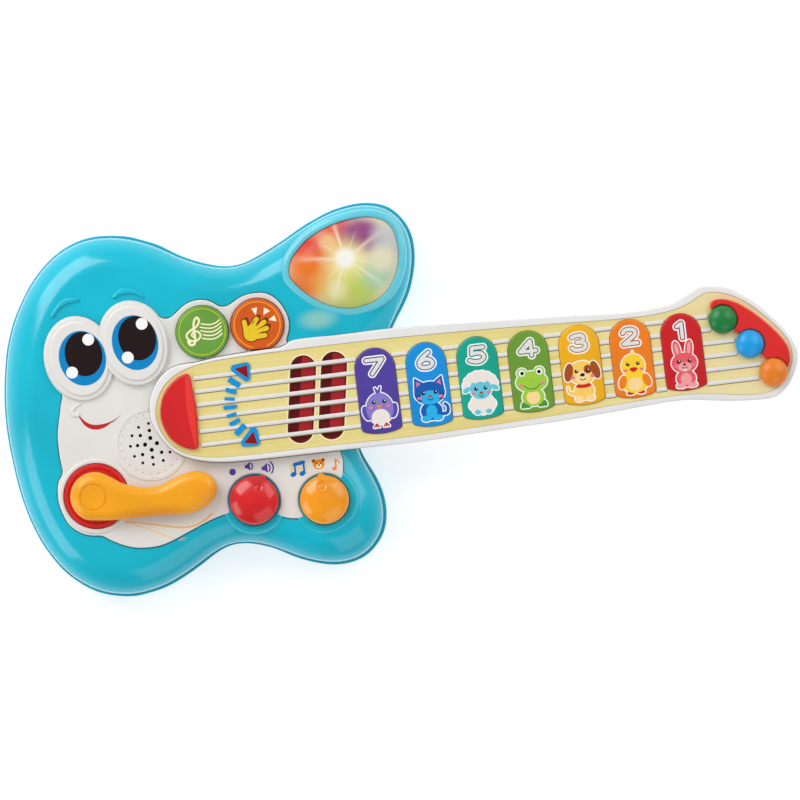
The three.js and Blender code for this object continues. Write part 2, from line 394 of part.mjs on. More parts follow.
// ---- knobs --------------------------------------------------------------------------------
for (const [name, c, angle, colour] of [['volume', VOLUME, 90 - 26.5, 0xe4302a], ['mode', MODE, 91.5, 0xf5a019]]) {
  const a = THREE.MathUtils.degToRad(angle), dir = [Math.cos(a), Math.sin(a)], at = (r, off = 0) => [c[0] + dir[0] * r - dir[1] * off, c[1] + dir[1] * r + dir[0] * off];
  let s = turned(c, [[0, 39.6], [3.3, 39.6], [3.3, 31.4], [5.4, 31.4], [5.4, 40.4], [12.2, 40], [12.2, 36.6], [KNOB_R, 36.6], [KNOB_R, 43.4], [11.4, 46.6], [0, 48.3]], 18);
  s = s.add(prism(vec([...at(12.5, -2.6), ...at(14.2, -2.1), ...at(15.4, -0.9), ...at(15.4, 0.9), ...at(14.2, 2.1), ...at(12.5, 2.6)]), 40.2, 44));
  s = s.subtract(turned(at(8), [[0, 46.5], [3.2, 49], [0, 49]], 8));
  piece(`${name}_knob`, s, colour, 0.25);
  piece(`${name}_shaft`, disc(c, 3, 24.9, 39.2), 0xcfd2d4, 0.3, 0.9);
  piece(`${name}_switch`, cut(join(prism(roundRect(c[0] - 8, c[0] + 8, c[1] - 8, c[1] + 8, 1.5), 23.95, 29.4), disc(c, 5, 29, 30.9)), disc(c, 3.08, 24.6, 32)), 0x54595e, 0.4, 0.3);
}
piece('main_board', prism(roundRect(-112, -31, -76.5, -37.5, 2), 22, 23.6), 0x2f7d3b, 0.5);

// ---- whammy lever -------------------------------------------------------------------------
{
  const line = smooth([...LEVER_LINE, ...arc(LEVER, 14.2, 242, 72, 6)], 34), l = (d) => inset(line, d);
  let s = loft([[l(1.2), 41], [l(0), 42.4], [l(0), 46.6], [l(1.8), 49.2], [l(5), 50.6]]);
  s = cut(join(s, disc(LEVER, 4, 29.9, 42)), disc(LEVER, 1.6, 29, 38.5, 16));
  // a shallow round mark over the pivot
  s = s.subtract(cut(disc([-182, -45.2], 7.6, 50.1, 52, 18), disc([-182, -45.2], 6.9, 50, 53, 18)));
  piece('whammy_lever', s, 0xf5a816, 0.28);
  piece('lever_screw', join(disc(LEVER, 6.2, 28.2, 29.6), disc(LEVER, 3, 26.4, 28.6, 16), disc(LEVER, 1.25, 29, 37, 12)), 0xb8bcc0, 0.3, 0.9);
  const seat = turned(LEVER_SEAT, [[0, 36.2], [18.65, 36.2], [18.65, 40.2], [16.2, 40.2], [15.2, 39.5], [0, 39.5]], 24);
  piece('lever_base', cut(join(seat, disc(LEVER_SEAT, 19.5, 35.1, 36.5, 24), disc(LEVER, 7, 30.2, 38)), disc(LEVER, 4.08, 29, 45)), 0xde2626, 0.3);
  const path = [];
  for (let i = 0; i <= 26; i++) {
    const t = i / 26 * Math.PI * 5;
    path.push(new THREE.Vector3(LEVER[0] + 9 * Math.cos(t), LEVER[1] + 9 * Math.sin(t), 31 + 3 * i / 26));
  }
  path.unshift(new THREE.Vector3(LEVER[0] + 9, LEVER[1] - 8, 30.8));
  path.push(new THREE.Vector3(LEVER[0] - 9, LEVER[1] - 8, 34.2));
  const ring = Array.from({ length: 4 }, (_, i) => new THREE.Vector2(0.45 * Math.cos(i * Math.PI * 0.5), 0.45 * Math.sin(i * Math.PI * 0.5)));
  const wire = new THREE.ExtrudeGeometry(new THREE.Shape(ring), { extrudePath: new THREE.CatmullRomCurve3(path), steps: 36, bevelEnabled: false });
  piece('lever_spring', solid(wire), 0xb8bcc0, 0.3, 0.9);
  piece('lever_switch', join(box(-163, -153, -58, -51, 24, 31), box(-161, -158.4, -56, -53, 30, 32.4), box(-166, -150, -59, -50, 22.2, 24.2)), 0x2b2e31, 0.5);
}

// ---- light --------------------------------------------------------------------------------
{
  const e = (k) => scaled(egg, LIGHT, k);
  let s = loft([[inset(egg, 0), 31.6], [inset(egg, 0), 38.4], [e(0.93), 41.2], [e(0.74), 43.6], [e(0.35), 45]]);
  s = s.add(prism(inset(egg, -1.2), 26.4, 27.7)).add(prism(egg, 27, 32));
  s = s.subtract(loft([[inset(egg, 2), 25], [inset(egg, 2), 38.2], [e(0.84), 40], [e(0.6), 41.8], [e(0.3), 42.6]]));
  piece('light_lens', s, 0xf2efd8, 0.15);
  const r = (k) => scaled(egg, LIGHT, k);
  s = loft([[r(0.42), 22.4], [r(0.46), 22.4 + 0.8], [r(0.88), 33]]).subtract(loft([[r(0.36), 20], [r(0.4), 23.4], [r(0.83), 34]]));
  piece('light_reflector', s, 0xf4f4f2, 0.4);
  piece('light_board', prism(roundRect(-38, -7, 58, 83, 2), 20.2, 21.8), 0x2f7d3b, 0.5);
  [['lamp_red', [-29, 72], 0xd83a2e], ['lamp_green', [-17, 67.5], 0x3fae49], ['lamp_blue', [-17.5, 76.5], 0x2d62c9]].forEach(([name, c, colour]) => {
    piece(name, turned(c, [[0, 22.1], [2.9, 22.1], [2.9, 23.1], [2.5, 23.1], [2.5, 27], [0, 29]], 8), colour, 0.15);
  });
}

// ---- speaker ------------------------------------------------------------------------------
piece('speaker_basket', turned(SPEAKER, [[16.9, 34.8], [20.2, 34.8], [20.2, 33.2], [18.6, 32.8], [11.4, 26.2], [11.4, 24.4], [8, 24.4], [8, 26.6], [10, 26.6], [16.9, 33.6], [16.9, 34.8]], 18), 0x4a4e52, 0.4, 0.7);
piece('speaker_cone', turned(SPEAKER, [[0, 29.8], [4.6, 28], [16.4, 33.9], [16.4, 34.5], [4.8, 28.9], [0, 30.6]], 18), 0x26282a, 0.8);
piece('speaker_magnet', turned(SPEAKER, [[0, 17.4], [11.5, 17.4], [11.5, 24], [7, 24], [7, 26], [0, 26]], 18), 0x303336, 0.4, 0.6);

// ---- head ---------------------------------------------------------------------------------
{
  const q = (d) => inset(vec(BAR_LINE), d);
  let s = loft([[q(0), 46.5], [q(0), 48], [q(0.5), 48.8], [q(1.3), 49.2]]);
  for (const t of TUNERS) s = s.subtract(disc(t, TUNER_R + 0.4, 40, 60, 28));
  piece('head_bar', s, 0xde2a26, 0.28);
}
TUNERS.forEach((t, i) => {
  const s = turned(t, [[0, 38.4], [2.9, 38.4], [4.2, 40.6], [4.2, 42.2], [3, 42.2], [3, 46.6], [7.5, 46.6], [TUNER_R, 48.2], [6.6, 51.3], [0, 53.2]], 16);
  piece(`tuner_${['green', 'blue', 'orange'][i]}`, s, [0x168c3c, 0x0aa0e1, 0xec8622][i], 0.25);
});

// ---- screws -------------------------------------------------------------------------------
const screw = (name, p, head, tip) => piece(name, turned(p, [[0, head + 0.6], [1.1, head + 0.6], [1.1, head], [2.8, head], [2.8, head + 2], [1.3, head + 2], [1.3, tip - 1.5], [0, tip]], 10), 0xb8bcc0, 0.3, 0.9);
SHELL_POSTS.forEach((p, i) => screw(`shell_screw_${i + 1}`, p, 9.6, 31));
screw('neck_screw_root', ROOT_POST, 8.6, 24);
screw('neck_screw_head', HEAD_POST, 21.6, 37);

export default guitar;
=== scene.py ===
# Toy electric guitar: the visible surfaces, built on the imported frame. Lengths are millimetres
# until a mesh is made, where they become metres.
import math

import bpy
import numpy as np
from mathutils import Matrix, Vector
from mathutils.geometry import tessellate_polygon


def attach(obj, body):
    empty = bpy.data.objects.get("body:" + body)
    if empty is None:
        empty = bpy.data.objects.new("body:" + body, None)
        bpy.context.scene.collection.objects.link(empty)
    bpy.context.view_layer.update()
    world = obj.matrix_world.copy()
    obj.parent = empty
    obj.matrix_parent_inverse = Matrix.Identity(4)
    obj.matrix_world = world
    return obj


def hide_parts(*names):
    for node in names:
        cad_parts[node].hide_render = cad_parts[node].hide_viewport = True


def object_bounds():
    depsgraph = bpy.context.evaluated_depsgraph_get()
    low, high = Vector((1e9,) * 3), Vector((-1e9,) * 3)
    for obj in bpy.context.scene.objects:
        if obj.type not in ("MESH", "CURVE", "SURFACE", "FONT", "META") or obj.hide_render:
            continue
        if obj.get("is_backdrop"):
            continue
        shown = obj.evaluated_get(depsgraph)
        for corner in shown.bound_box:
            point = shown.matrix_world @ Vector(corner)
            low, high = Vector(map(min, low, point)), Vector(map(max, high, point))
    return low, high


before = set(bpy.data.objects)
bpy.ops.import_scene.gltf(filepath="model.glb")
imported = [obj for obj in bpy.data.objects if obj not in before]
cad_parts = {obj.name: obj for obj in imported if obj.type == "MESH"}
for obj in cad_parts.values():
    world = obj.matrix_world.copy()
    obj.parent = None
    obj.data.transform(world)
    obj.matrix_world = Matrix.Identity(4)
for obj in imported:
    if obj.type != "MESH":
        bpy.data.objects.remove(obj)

CAD_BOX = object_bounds()

# ---- outlines ---------------------------------------------------------------------------------
BODY_LINE = [
    -11, 105.8, -1.8, 104.7, 6.9, 101.2, 13.2, 94.3, 17.2, 86.3, 18.4, 77.7, 17.8, 68.5, 15.5, 59.3, 12.6, 51.2, 8, 43.2, 2.8, 35.7, -3.5, 25,
    -10.5, 12, -17, -1, -23, -14, -27, -26, -27.3, -34.5, -25, -42, -21.3, -49.4, -17.9, -58, -16.1, -66.7, -16.1, -75.9, -18.4, -85.1, -23.6, -92.5,
    -30.5, -98.3, -39.1, -101.2, -48.3, -101.7, -57, -100, -65.6, -97.1, -74.2, -93.1, -81.7, -88.5, -90.3, -85.1, -98.9, -82.8, -108.1, -82.8, -116.8, -86.2, -124.2, -90.8,
    -132.3, -95.4, -140.3, -99.4, -149, -102.9, -157.6, -104.6, -166.8, -105.8, -176, -104.6, -184.6, -102.3, -192.7, -98.3, -200.1, -92.5, -206.5, -86.2, -211.6, -78.7, -216.2, -70.7,
    -219.7, -62.6, -222.6, -54, -224.9, -44.8, -226.6, -36.2, -227.7, -27.6, -228.6, -18.4, -229.4, -9.2, -229.7, 0, -229.5, 8.7, -228.9, 17.9, -227.7, 27.1, -226, 36.3,
    -224.3, 44.9, -221.4, 53.5, -218, 62.1, -213.4, 70.2, -208.8, 77.7, -203, 85.1, -196.7, 91.5, -189.2, 97.2, -181.7, 101.2, -172.5, 104.1, -163.9, 104.9, -154.7, 104.1,
    -145.5, 102.4, -136.9, 98.9, -128.8, 95.5, -121.4, 90.3, -113.3, 85.7, -105.3, 82.3, -96.6, 79.4, -87.4, 78.2, -78.2, 80, -70.2, 83.4, -61.6, 87.4, -53.5, 91.5,
    -45.5, 96.1, -37.4, 99.5, -28.8, 103, -19.6, 104.9,
]
NECK_LINE = [
    -144.2, -3.5, -144.2, -1, -143.2, 6.7, -140.6, 12.4, -136.8, 17.6, -131.7, 22, -126.5, 24, -120.1, 24.6, -115, 24.7, -101, 26.2, -90, 26.8, -75, 27.2,
    -65, 27.5, -62, 28.5, -60, 30.2, -30, 30.6, 10.9, 30.5, 56.3, 28.2, 101.7, 25.9, 130, 23.8, 145, 24, 154.9, 24.6, 161.4, 25.8, 166.6, 28.1,
    171.9, 30.4, 175.8, 32.5, 179.7, 33.3, 184.3, 33.1, 190.8, 31.7, 196.7, 29.4, 201.9, 25.8, 208.5, 20.6, 215, 14, 220.9, 6.8, 225.5, 0.3, 228.1, -4.9,
    229.7, -10.2, 228.9, -16.7, 226.8, -21.9, 223.5, -27.8, 219.6, -31.8, 215, -34.7, 209.8, -35.7, 201.9, -35.5, 195.4, -35, 185.6, -34, 175.8, -32.5, 166.6, -31.1,
    156.2, -30.6, 143.1, -31.1, 130, -31.9, 95.4, -33.9, 49.4, -35, 4, -36.2, -30, -35.6, -50, -35.4, -100, -34.6, -110, -33.6, -120, -31.4, -128, -28,
    -135, -22.5, -140, -15, -143.4, -8,
]
BOARD_LINE = [
    -110, 23.6, -90, 24.6, -50, 25.2, 0, 24.9, 40, 23.8, 90, 21.9, 130, 20.1, 150, 20.2, 162.7, 21.7, 169.2, 23.6, 175.8, 26.9, 181, 29.2,
    185.6, 29, 192.1, 27.2, 197.4, 24.9, 203.9, 20.4, 210.4, 14.5, 217, 7.3, 222.2, 0.7, 224.8, -3.8, 226, -8.9, 225.6, -15.4, 223.3, -20.6, 220, -25.9,
    215.4, -29.8, 210.4, -31.8, 201.9, -32.1, 192.1, -31.1, 182.3, -29.5, 172.5, -28.2, 162.7, -27.4, 149.6, -27.5, 130, -28, 95, -30, 49, -31.4, 4, -32.4,
    -50, -31.9, -100, -31.5, -110, -30.8, -119, -29.2, -127, -26.3, -134.4, -20.4, -139.6, -10.4, -140.8, -3.5, -140.2, 1.9, -136, 10.9, -130, 16.9, -120, 21.5,
]
EGG_LINE = [
    -55.2, 69.6, -53.4, 76.1, -49.2, 81.2, -42.7, 86.9, -32.3, 92.1, -21.9, 95, -15, 95.9, -10.1, 96.1, -4.6, 95.5, 1.6, 93.1, 5.8, 89.3, 7.9, 83.8,
    8.7, 76.5, 7.9, 69.2, 5.8, 62.3, 2.3, 56.1, -2.5, 50.9, -8.8, 47.4, -15.7, 45.7, -21.2, 45.1, -27.5, 46, -34.4, 48.4, -41.3, 52.3, -47.5, 57.4,
    -52.4, 63, -54.7, 66.4,
]
BRIDGE_LINE = [
    -124, 18.1, -130.4, 14, -134.9, 8.6, -137.4, 2.2, -138.2, -3.6, -137.4, -10, -134.9, -15.8, -131, -20.3, -125.9, -23.5, -119.4, -24.6, -117.8, -14, -117.2, -3,
    -117.9, 9, -119.5, 18.5,
]
LEVER_LINE = [
    -171.4, -34.5, -164.3, -39.4, -154.4, -42.6, -146, -43.3, -138.9, -41.5, -131.9, -38.7, -124.1, -37.3, -117.8, -38.4, -112.8, -42.2, -111, -47.1, -112.1, -52.1, -115.6, -56.3,
    -122, -59.8, -130.4, -61.3, -140.3, -60.5, -154.4, -60.1, -168.5, -59.8, -178.4, -59.1,
]
BAR_LINE = [
    182.5, 21.9, 183.3, 23.5, 185.6, 24.5, 188.9, 24.6, 193.4, 23.5, 198.7, 20.9, 205.2, 16, 211.8, 9.8, 217.6, 3.2, 221.6, -2.3, 223.9, -6.9, 224.6, -11.5,
    224.3, -15.4, 223.3, -18, 222.3, -19.4, 214, -18, 210.8, -12.8, 207.8, -8.9, 201, -3, 197, 3.2, 194.4, 5.5, 189, 13, 183, 18.9,
]
LEFT_BROW = [
    -195.1, 60.2, -192.6, 64.4, -187.4, 69.2, -183, 70.4, -177.2, 69.2, -177.2, 68.2, -184.2, 67.2, -189.4, 64.7, -194, 60,
]
RIGHT_BROW = [
    -158.1, 67.6, -154.1, 71.4, -150.3, 72.4, -145.8, 70.8, -142.6, 68.5, -139.7, 66, -140.2, 65.4, -144.5, 67.9, -149.6, 68.8, -153.5, 68.5, -157.6, 66.8,
]
MOUTH = [
    -185.2, 2.2, -181.7, -1.7, -177.8, -3.9, -173.3, -4.2, -168.8, -3.6, -165.3, -2.6, -168.8, -4.9, -171.4, -6.2, -175.3, -6.9, -179.1, -6.2, -182.3, -3.9, -184.2, -1,
]
PANEL_EDGE = [
    -61.6, 30.1, -59.6, 36.1, -58.8, 41.7, -59.9, 47.4, -64.2, 55.1, -69.8, 59.3, -76.8, 60.3, -83.9, 59.3, -89.5, 56.5, -93.1, 54.8, -97.3, 55.1, -101, 57.8,
    -105, 59.7, -110, 60.3, -116, 59, -121.5, 55.5, -126.5, 52, -131, 52.3, -135.5, 56.8, -142.5, 62.5, -150.3, 64, -158, 61.5, -163.8, 56.5, -167.4, 52.2,
    -171, 55.5, -176, 58, -182, 58.8, -189, 56.5, -195, 51, -199, 44, -200.4, 36.5, -199.5, 28, -196.5, 21, -193.4, 16, -195.1, 9.2, -196.7, 2.2,
    -198.2, -3.6, -199, -9.4, -199.1, -20.3, -198.6, -29.5, -201.7, -34.5, -202.9, -44.3, -201.7, -51.4, -198.1, -59.8, -191.1, -65.5, -185.5, -67.3, -180.5, -67.9, -175.6, -71.1,
    -168.5, -74.9, -161.5, -77.2, -154.4, -77.9, -147.4, -77.5, -140.3, -75.6, -133.3, -72.8, -126.2, -70, -119.2, -67.2, -112.1, -64.9,
]
STRINGS = [15.6, 7.9, 0.2, -7.4, -15.1, -22.9]
GREEN_BUTTON, ORANGE_BUTTON = (-108.9, 41.7), (-77.0, 41.9)
BUTTON_R, BUTTON_FLAT_Y = 15.1, 27.9
VOLUME, MODE, RECESS_R = (-90.8, -58.1), (-50.6, -62.6), 15.35
LEVER, LEVER_SEAT = (-181.2, -45.0), (-180.8, -44.8)
SPEAKER = (-146.0, -18.8)
TUNERS = [(188.7, 12.7), (202.5, -3.1), (214.2, -20.8)]
LIGHT = (-22.5, 70.5)
KEY_PITCH, KEY_X7, KEY_W = 29.45, -12.7, 23.3
GAP = 0.35
DECK, PANEL, BOARD, KEY_TOP = 38.0, 39.4, 46.2, 47.4
LEFT_EYE, RIGHT_EYE = ((-181, 34.7), (19.4, 24.1), 8), ((-149, 39.8), (19.4, 24.2), 8)
SHELL_POSTS = [(-190, 78), (-196, -76), (-42, -84), (-66, 71)]


# ---- plane curves -----------------------------------------------------------------------------
def pts(flat):
    """Points of a closed line, counter-clockwise."""
    p = np.array(flat, float).reshape(-1, 2)
    q = np.roll(p, -1, 0)
    return p if np.sum(p[:, 0] * q[:, 1] - q[:, 0] * p[:, 1]) > 0 else p[::-1].copy()


def resample(p, n):
    q = np.vstack([p, p[:1]])
    s = np.concatenate([[0], np.cumsum(np.hypot(*np.diff(q, axis=0).T))])
    t = np.linspace(0, s[-1], n, endpoint=False)
    return np.stack([np.interp(t, s, q[:, 0]), np.interp(t, s, q[:, 1])], 1)


def soften(p, times):
    for _ in range(times):
        p = (np.roll(p, 1, 0) + 2 * p + np.roll(p, -1, 0)) / 4
    return p


def curve(p, closed, steps=12):
    """A centripetal Catmull-Rom curve through the points."""
    m, out = len(p), []
    for i in range(m if closed else m - 1):
        if closed:
            a, b, c, d = p[i - 1], p[i], p[(i + 1) % m], p[(i + 2) % m]
        else:
            b, c = p[i], p[i + 1]
            a = p[i - 1] if i else 2 * b - c
            d = p[i + 2] if i + 2 < m else 2 * c - b
        t1 = np.hypot(*(b - a)) ** 0.5
        t2 = t1 + np.hypot(*(c - b)) ** 0.5
        t3 = t2 + np.hypot(*(d - c)) ** 0.5
        t = np.linspace(t1, t2, steps, endpoint=False)[:, None]
        a1, a2, a3 = (t1 - t) / t1 * a + t / t1 * b, (t2 - t) / (t2 - t1) * b + (t - t1) / (t2 - t1) * c, (t3 - t) / (t3 - t2) * c + (t - t2) / (t3 - t2) * d
        b1, b2 = (t2 - t) / t2 * a1 + t / t2 * a2, (t3 - t) / (t3 - t1) * a2 + (t - t1) / (t3 - t1) * a3
        out.append((t2 - t) / (t2 - t1) * b1 + (t - t1) / (t2 - t1) * b2)
    if not closed:
        out.append(p[-1:])
    return np.concatenate(out)


def spline(flat, n, soft=1):
    return soften(resample(curve(pts(flat), True), n), soft)


def inset(p, d):
    a, b = np.roll(p, 1, 0), np.roll(p, -1, 0)
    u, v = p - a, b - p
    u /= np.hypot(*u.T)[:, None] + 1e-12
    v /= np.hypot(*v.T)[:, None] + 1e-12
    t = u + v
    t /= np.hypot(*t.T)[:, None] + 1e-12
    k = d / np.maximum(0.5, np.abs(np.sum(t * v, 1)))
    return np.stack([p[:, 0] - t[:, 1] * k, p[:, 1] + t[:, 0] * k], 1)


def deep_insets(p, ds):
    """Insets too deep for one step: each is made from the last one and softened a little."""
    out, at, q = {}, 0.0, p
    for d in sorted(ds):
        while at < d - 1e-9:
            step = min(0.8, d - at)
            q = soften(inset(q, step), 2)
            at += step
        out[d] = q
    return out


def ring_pts(c, r, n=96, a0=0.0):
    a = np.linspace(0, 2 * math.pi, n, endpoint=False) + math.radians(a0)
    return np.stack([c[0] + r * np.cos(a), c[1] + r * np.sin(a)], 1)


def ellipse_pts(e, d, n=128):
    (cx, cy), (rx, ry), tilt = e
    a, t = math.radians(tilt), np.linspace(0, 2 * math.pi, n, endpoint=False)
    x, y = (rx - d) * np.cos(t), (ry - d) * np.sin(t)
    return np.stack([cx + x * math.cos(a) - y * math.sin(a), cy + x * math.sin(a) + y * math.cos(a)], 1)


def round_rect(x0, x1, y0, y1, r, n=8):
    out = []
    for cx, cy, a in ((x1 - r, y1 - r, 0), (x0 + r, y1 - r, 90), (x0 + r, y0 + r, 180), (x1 - r, y0 + r, 270)):
        t = np.radians(np.linspace(a, a + 90, n))
        out.append(np.stack([cx + r * np.cos(t), cy + r * np.sin(t)], 1))
    return np.concatenate(out)


def arc(c, r, a0, a1, n):
    t = np.radians(np.linspace(a0, a1, n + 1))
    return np.stack([c[0] + r * np.cos(t), c[1] + r * np.sin(t)], 1).ravel().tolist()


def scaled(p, c, s):
    return np.array(c) + (p - np.array(c)) * s


# ---- plane shapes as distance fields ------------------------------------------------------------
def circle(cx, cy, r):
    return lambda X, Y: np.hypot(X - cx, Y - cy) - r


def oval(cx, cy, rx, ry, tilt=0.0):
    c, s = math.cos(math.radians(tilt)), math.sin(math.radians(tilt))

    def f(X, Y):
        x, y = (X - cx) * c + (Y - cy) * s, -(X - cx) * s + (Y - cy) * c
        k = np.hypot(x / rx, y / ry) + 1e-9
        return (k - 1) * k / (np.hypot(x / rx**2, y / ry**2) + 1e-9)

    return f


def stroke(points, w0, w1=None, smooth=False):
    p = np.array(points, float)
    if smooth:
        p = curve(p, False, 8)
    w1 = w0 if w1 is None else w1
    s = np.concatenate([[0], np.cumsum(np.hypot(*np.diff(p, axis=0).T))])
    s /= s[-1]

    def f(X, Y):
        best = np.full(X.shape, 1e9)
        for i in range(len(p) - 1):
            a, d = p[i], p[i + 1] - p[i]
            t = np.clip(((X - a[0]) * d[0] + (Y - a[1]) * d[1]) / (d @ d + 1e-12), 0, 1)
            w = w0 + (w1 - w0) * (s[i] + (s[i + 1] - s[i]) * t)
            best = np.minimum(best, np.hypot(X - a[0] - d[0] * t, Y - a[1] - d[1] * t) - w / 2)
        return best

    return f


def poly(points):
    p = np.array(points, float).reshape(-1, 2)

    def f(X, Y):
        best, inside = np.full(X.shape, 1e9), np.zeros(X.shape, bool)
        for i in range(len(p)):
            a, b = p[i], p[(i + 1) % len(p)]
            d = b - a
            t = np.clip(((X - a[0]) * d[0] + (Y - a[1]) * d[1]) / (d @ d + 1e-12), 0, 1)
            best = np.minimum(best, np.hypot(X - a[0] - d[0] * t, Y - a[1] - d[1] * t))
            if a[1] != b[1]:
                inside ^= ((a[1] > Y) != (b[1] > Y)) & (X < d[0] * (Y - a[1]) / d[1] + a[0])
        return np.where(inside, -best, best)

    return f


def union(*fs):
    return lambda X, Y: np.minimum.reduce([f(X, Y) for f in fs])


def both(*fs):
    return lambda X, Y: np.maximum.reduce([f(X, Y) for f in fs])


def less(f, *gs):
    return lambda X, Y: np.maximum.reduce([f(X, Y)] + [-g(X, Y) for g in gs])


def grow(f, d):
    return lambda X, Y: f(X, Y) - d


def moved(f, dx, dy, s=1.0):
    return lambda X, Y: f((X - dx) / s, (Y - dy) / s) * s


def simplify(p, tol):
    """Closed Douglas-Peucker."""
    n = len(p)
    keep = np.zeros(n, bool)
    far = int(np.argmax(np.hypot(*(p - p[0]).T)))
    keep[0] = keep[far] = True
    q, stack = np.vstack([p, p[:1]]), [(0, far), (far, n)]
    while stack:
        i, j = stack.pop()
        if j - i < 2:
            continue
        a, d = q[i], q[j] - q[i]
        e = np.abs(d[0] * (q[i + 1 : j, 1] - a[1]) - d[1] * (q[i + 1 : j, 0] - a[0])) / (np.hypot(*d) + 1e-9)
        k = int(np.argmax(e))
        if e[k] > tol:
            keep[(i + 1 + k) % n] = True
            stack += [(i, i + 1 + k), (i + 1 + k, j)]
    return p[keep]


def contours(f, box, h=0.15, tol=0.012):
    """Outlines where f is below zero: [(outer, [holes])], outers and holes counter-clockwise."""
    xs, ys = np.arange(box[0], box[1] + h, h), np.arange(box[2], box[3] + h, h)
    X, Y = np.meshgrid(xs, ys, indexing="ij")
    F = f(X, Y)
    F = np.where(F == 0, 1e-9, F)
    F[0, :] = F[-1, :] = F[:, 0] = F[:, -1] = np.maximum(1e-3, np.abs(F[0, 0]))
    ins = F < 0
    mixed = np.argwhere(~((ins[:-1, :-1] == ins[1:, :-1]) & (ins[:-1, :-1] == ins[1:, 1:]) & (ins[:-1, :-1] == ins[:-1, 1:])))
    nxt = {}
    for i, j in mixed:
        i, j = int(i), int(j)
        corners = (ins[i, j], ins[i + 1, j], ins[i + 1, j + 1], ins[i, j + 1])
        edges = ((0, i, j), (1, i + 1, j), (0, i, j + 1), (1, i, j))
        for k in range(4):
            if corners[k] and not corners[(k + 1) % 4]:
                for m in range(1, 4):
                    e = (k + m) % 4
                    if not corners[e] and corners[(e + 1) % 4]:
                        nxt[edges[k]] = edges[e]
                        break

    def point(e):
        kind, i, j = e
        a = F[i, j]
        b = F[i + 1, j] if kind == 0 else F[i, j + 1]
        t = a / (a - b)
        return (xs[i] + (h * t if kind == 0 else 0), ys[j] + (0 if kind == 0 else h * t))

    loops = []
    while nxt:
        start, e = next(iter(nxt)), None
        e, line = start, []
        while e in nxt:
            line.append(point(e))
            e = nxt.pop(e)
        if len(line) > 5:
            loops.append(np.array(line))
    outs, holes = [], []
    for p in loops:
        q = np.roll(p, -1, 0)
        area = np.sum(p[:, 0] * q[:, 1] - q[:, 0] * p[:, 1]) / 2
        if abs(area) < 0.05:
            continue
        p = simplify(p, tol)
        (outs if area > 0 else holes).append((abs(area), p if area > 0 else p[::-1].copy()))
    outs.sort(key=lambda t: t[0])
    groups = [(p, []) for _, p in outs]
    for _, hole in holes:
        for outer, inner in groups:
            if poly(outer)(np.array([hole[0, 0]]), np.array([hole[0, 1]]))[0] < 0:
                inner.append(hole)
                break
    return groups


def subtract2d(a, b):
    """Closed line a less closed line b, where they cross exactly twice."""
    fa, fb = poly(a), poly(b)
    a, b = resample(a, 1400), resample(b, 1400)
    out_a, in_b = fb(a[:, 0], a[:, 1]) > 0, fa(b[:, 0], b[:, 1]) < 0

    def run(p, mask):
        k = int(np.argmax(mask & ~np.roll(mask, 1)))
        m = np.roll(mask, -k)
        n = len(m) if m.all() else int(np.argmin(m))
        return np.roll(p, -k, 0)[:n]

    return simplify(np.vstack([run(a, out_a), run(b, in_b)[::-1]]), 0.01)


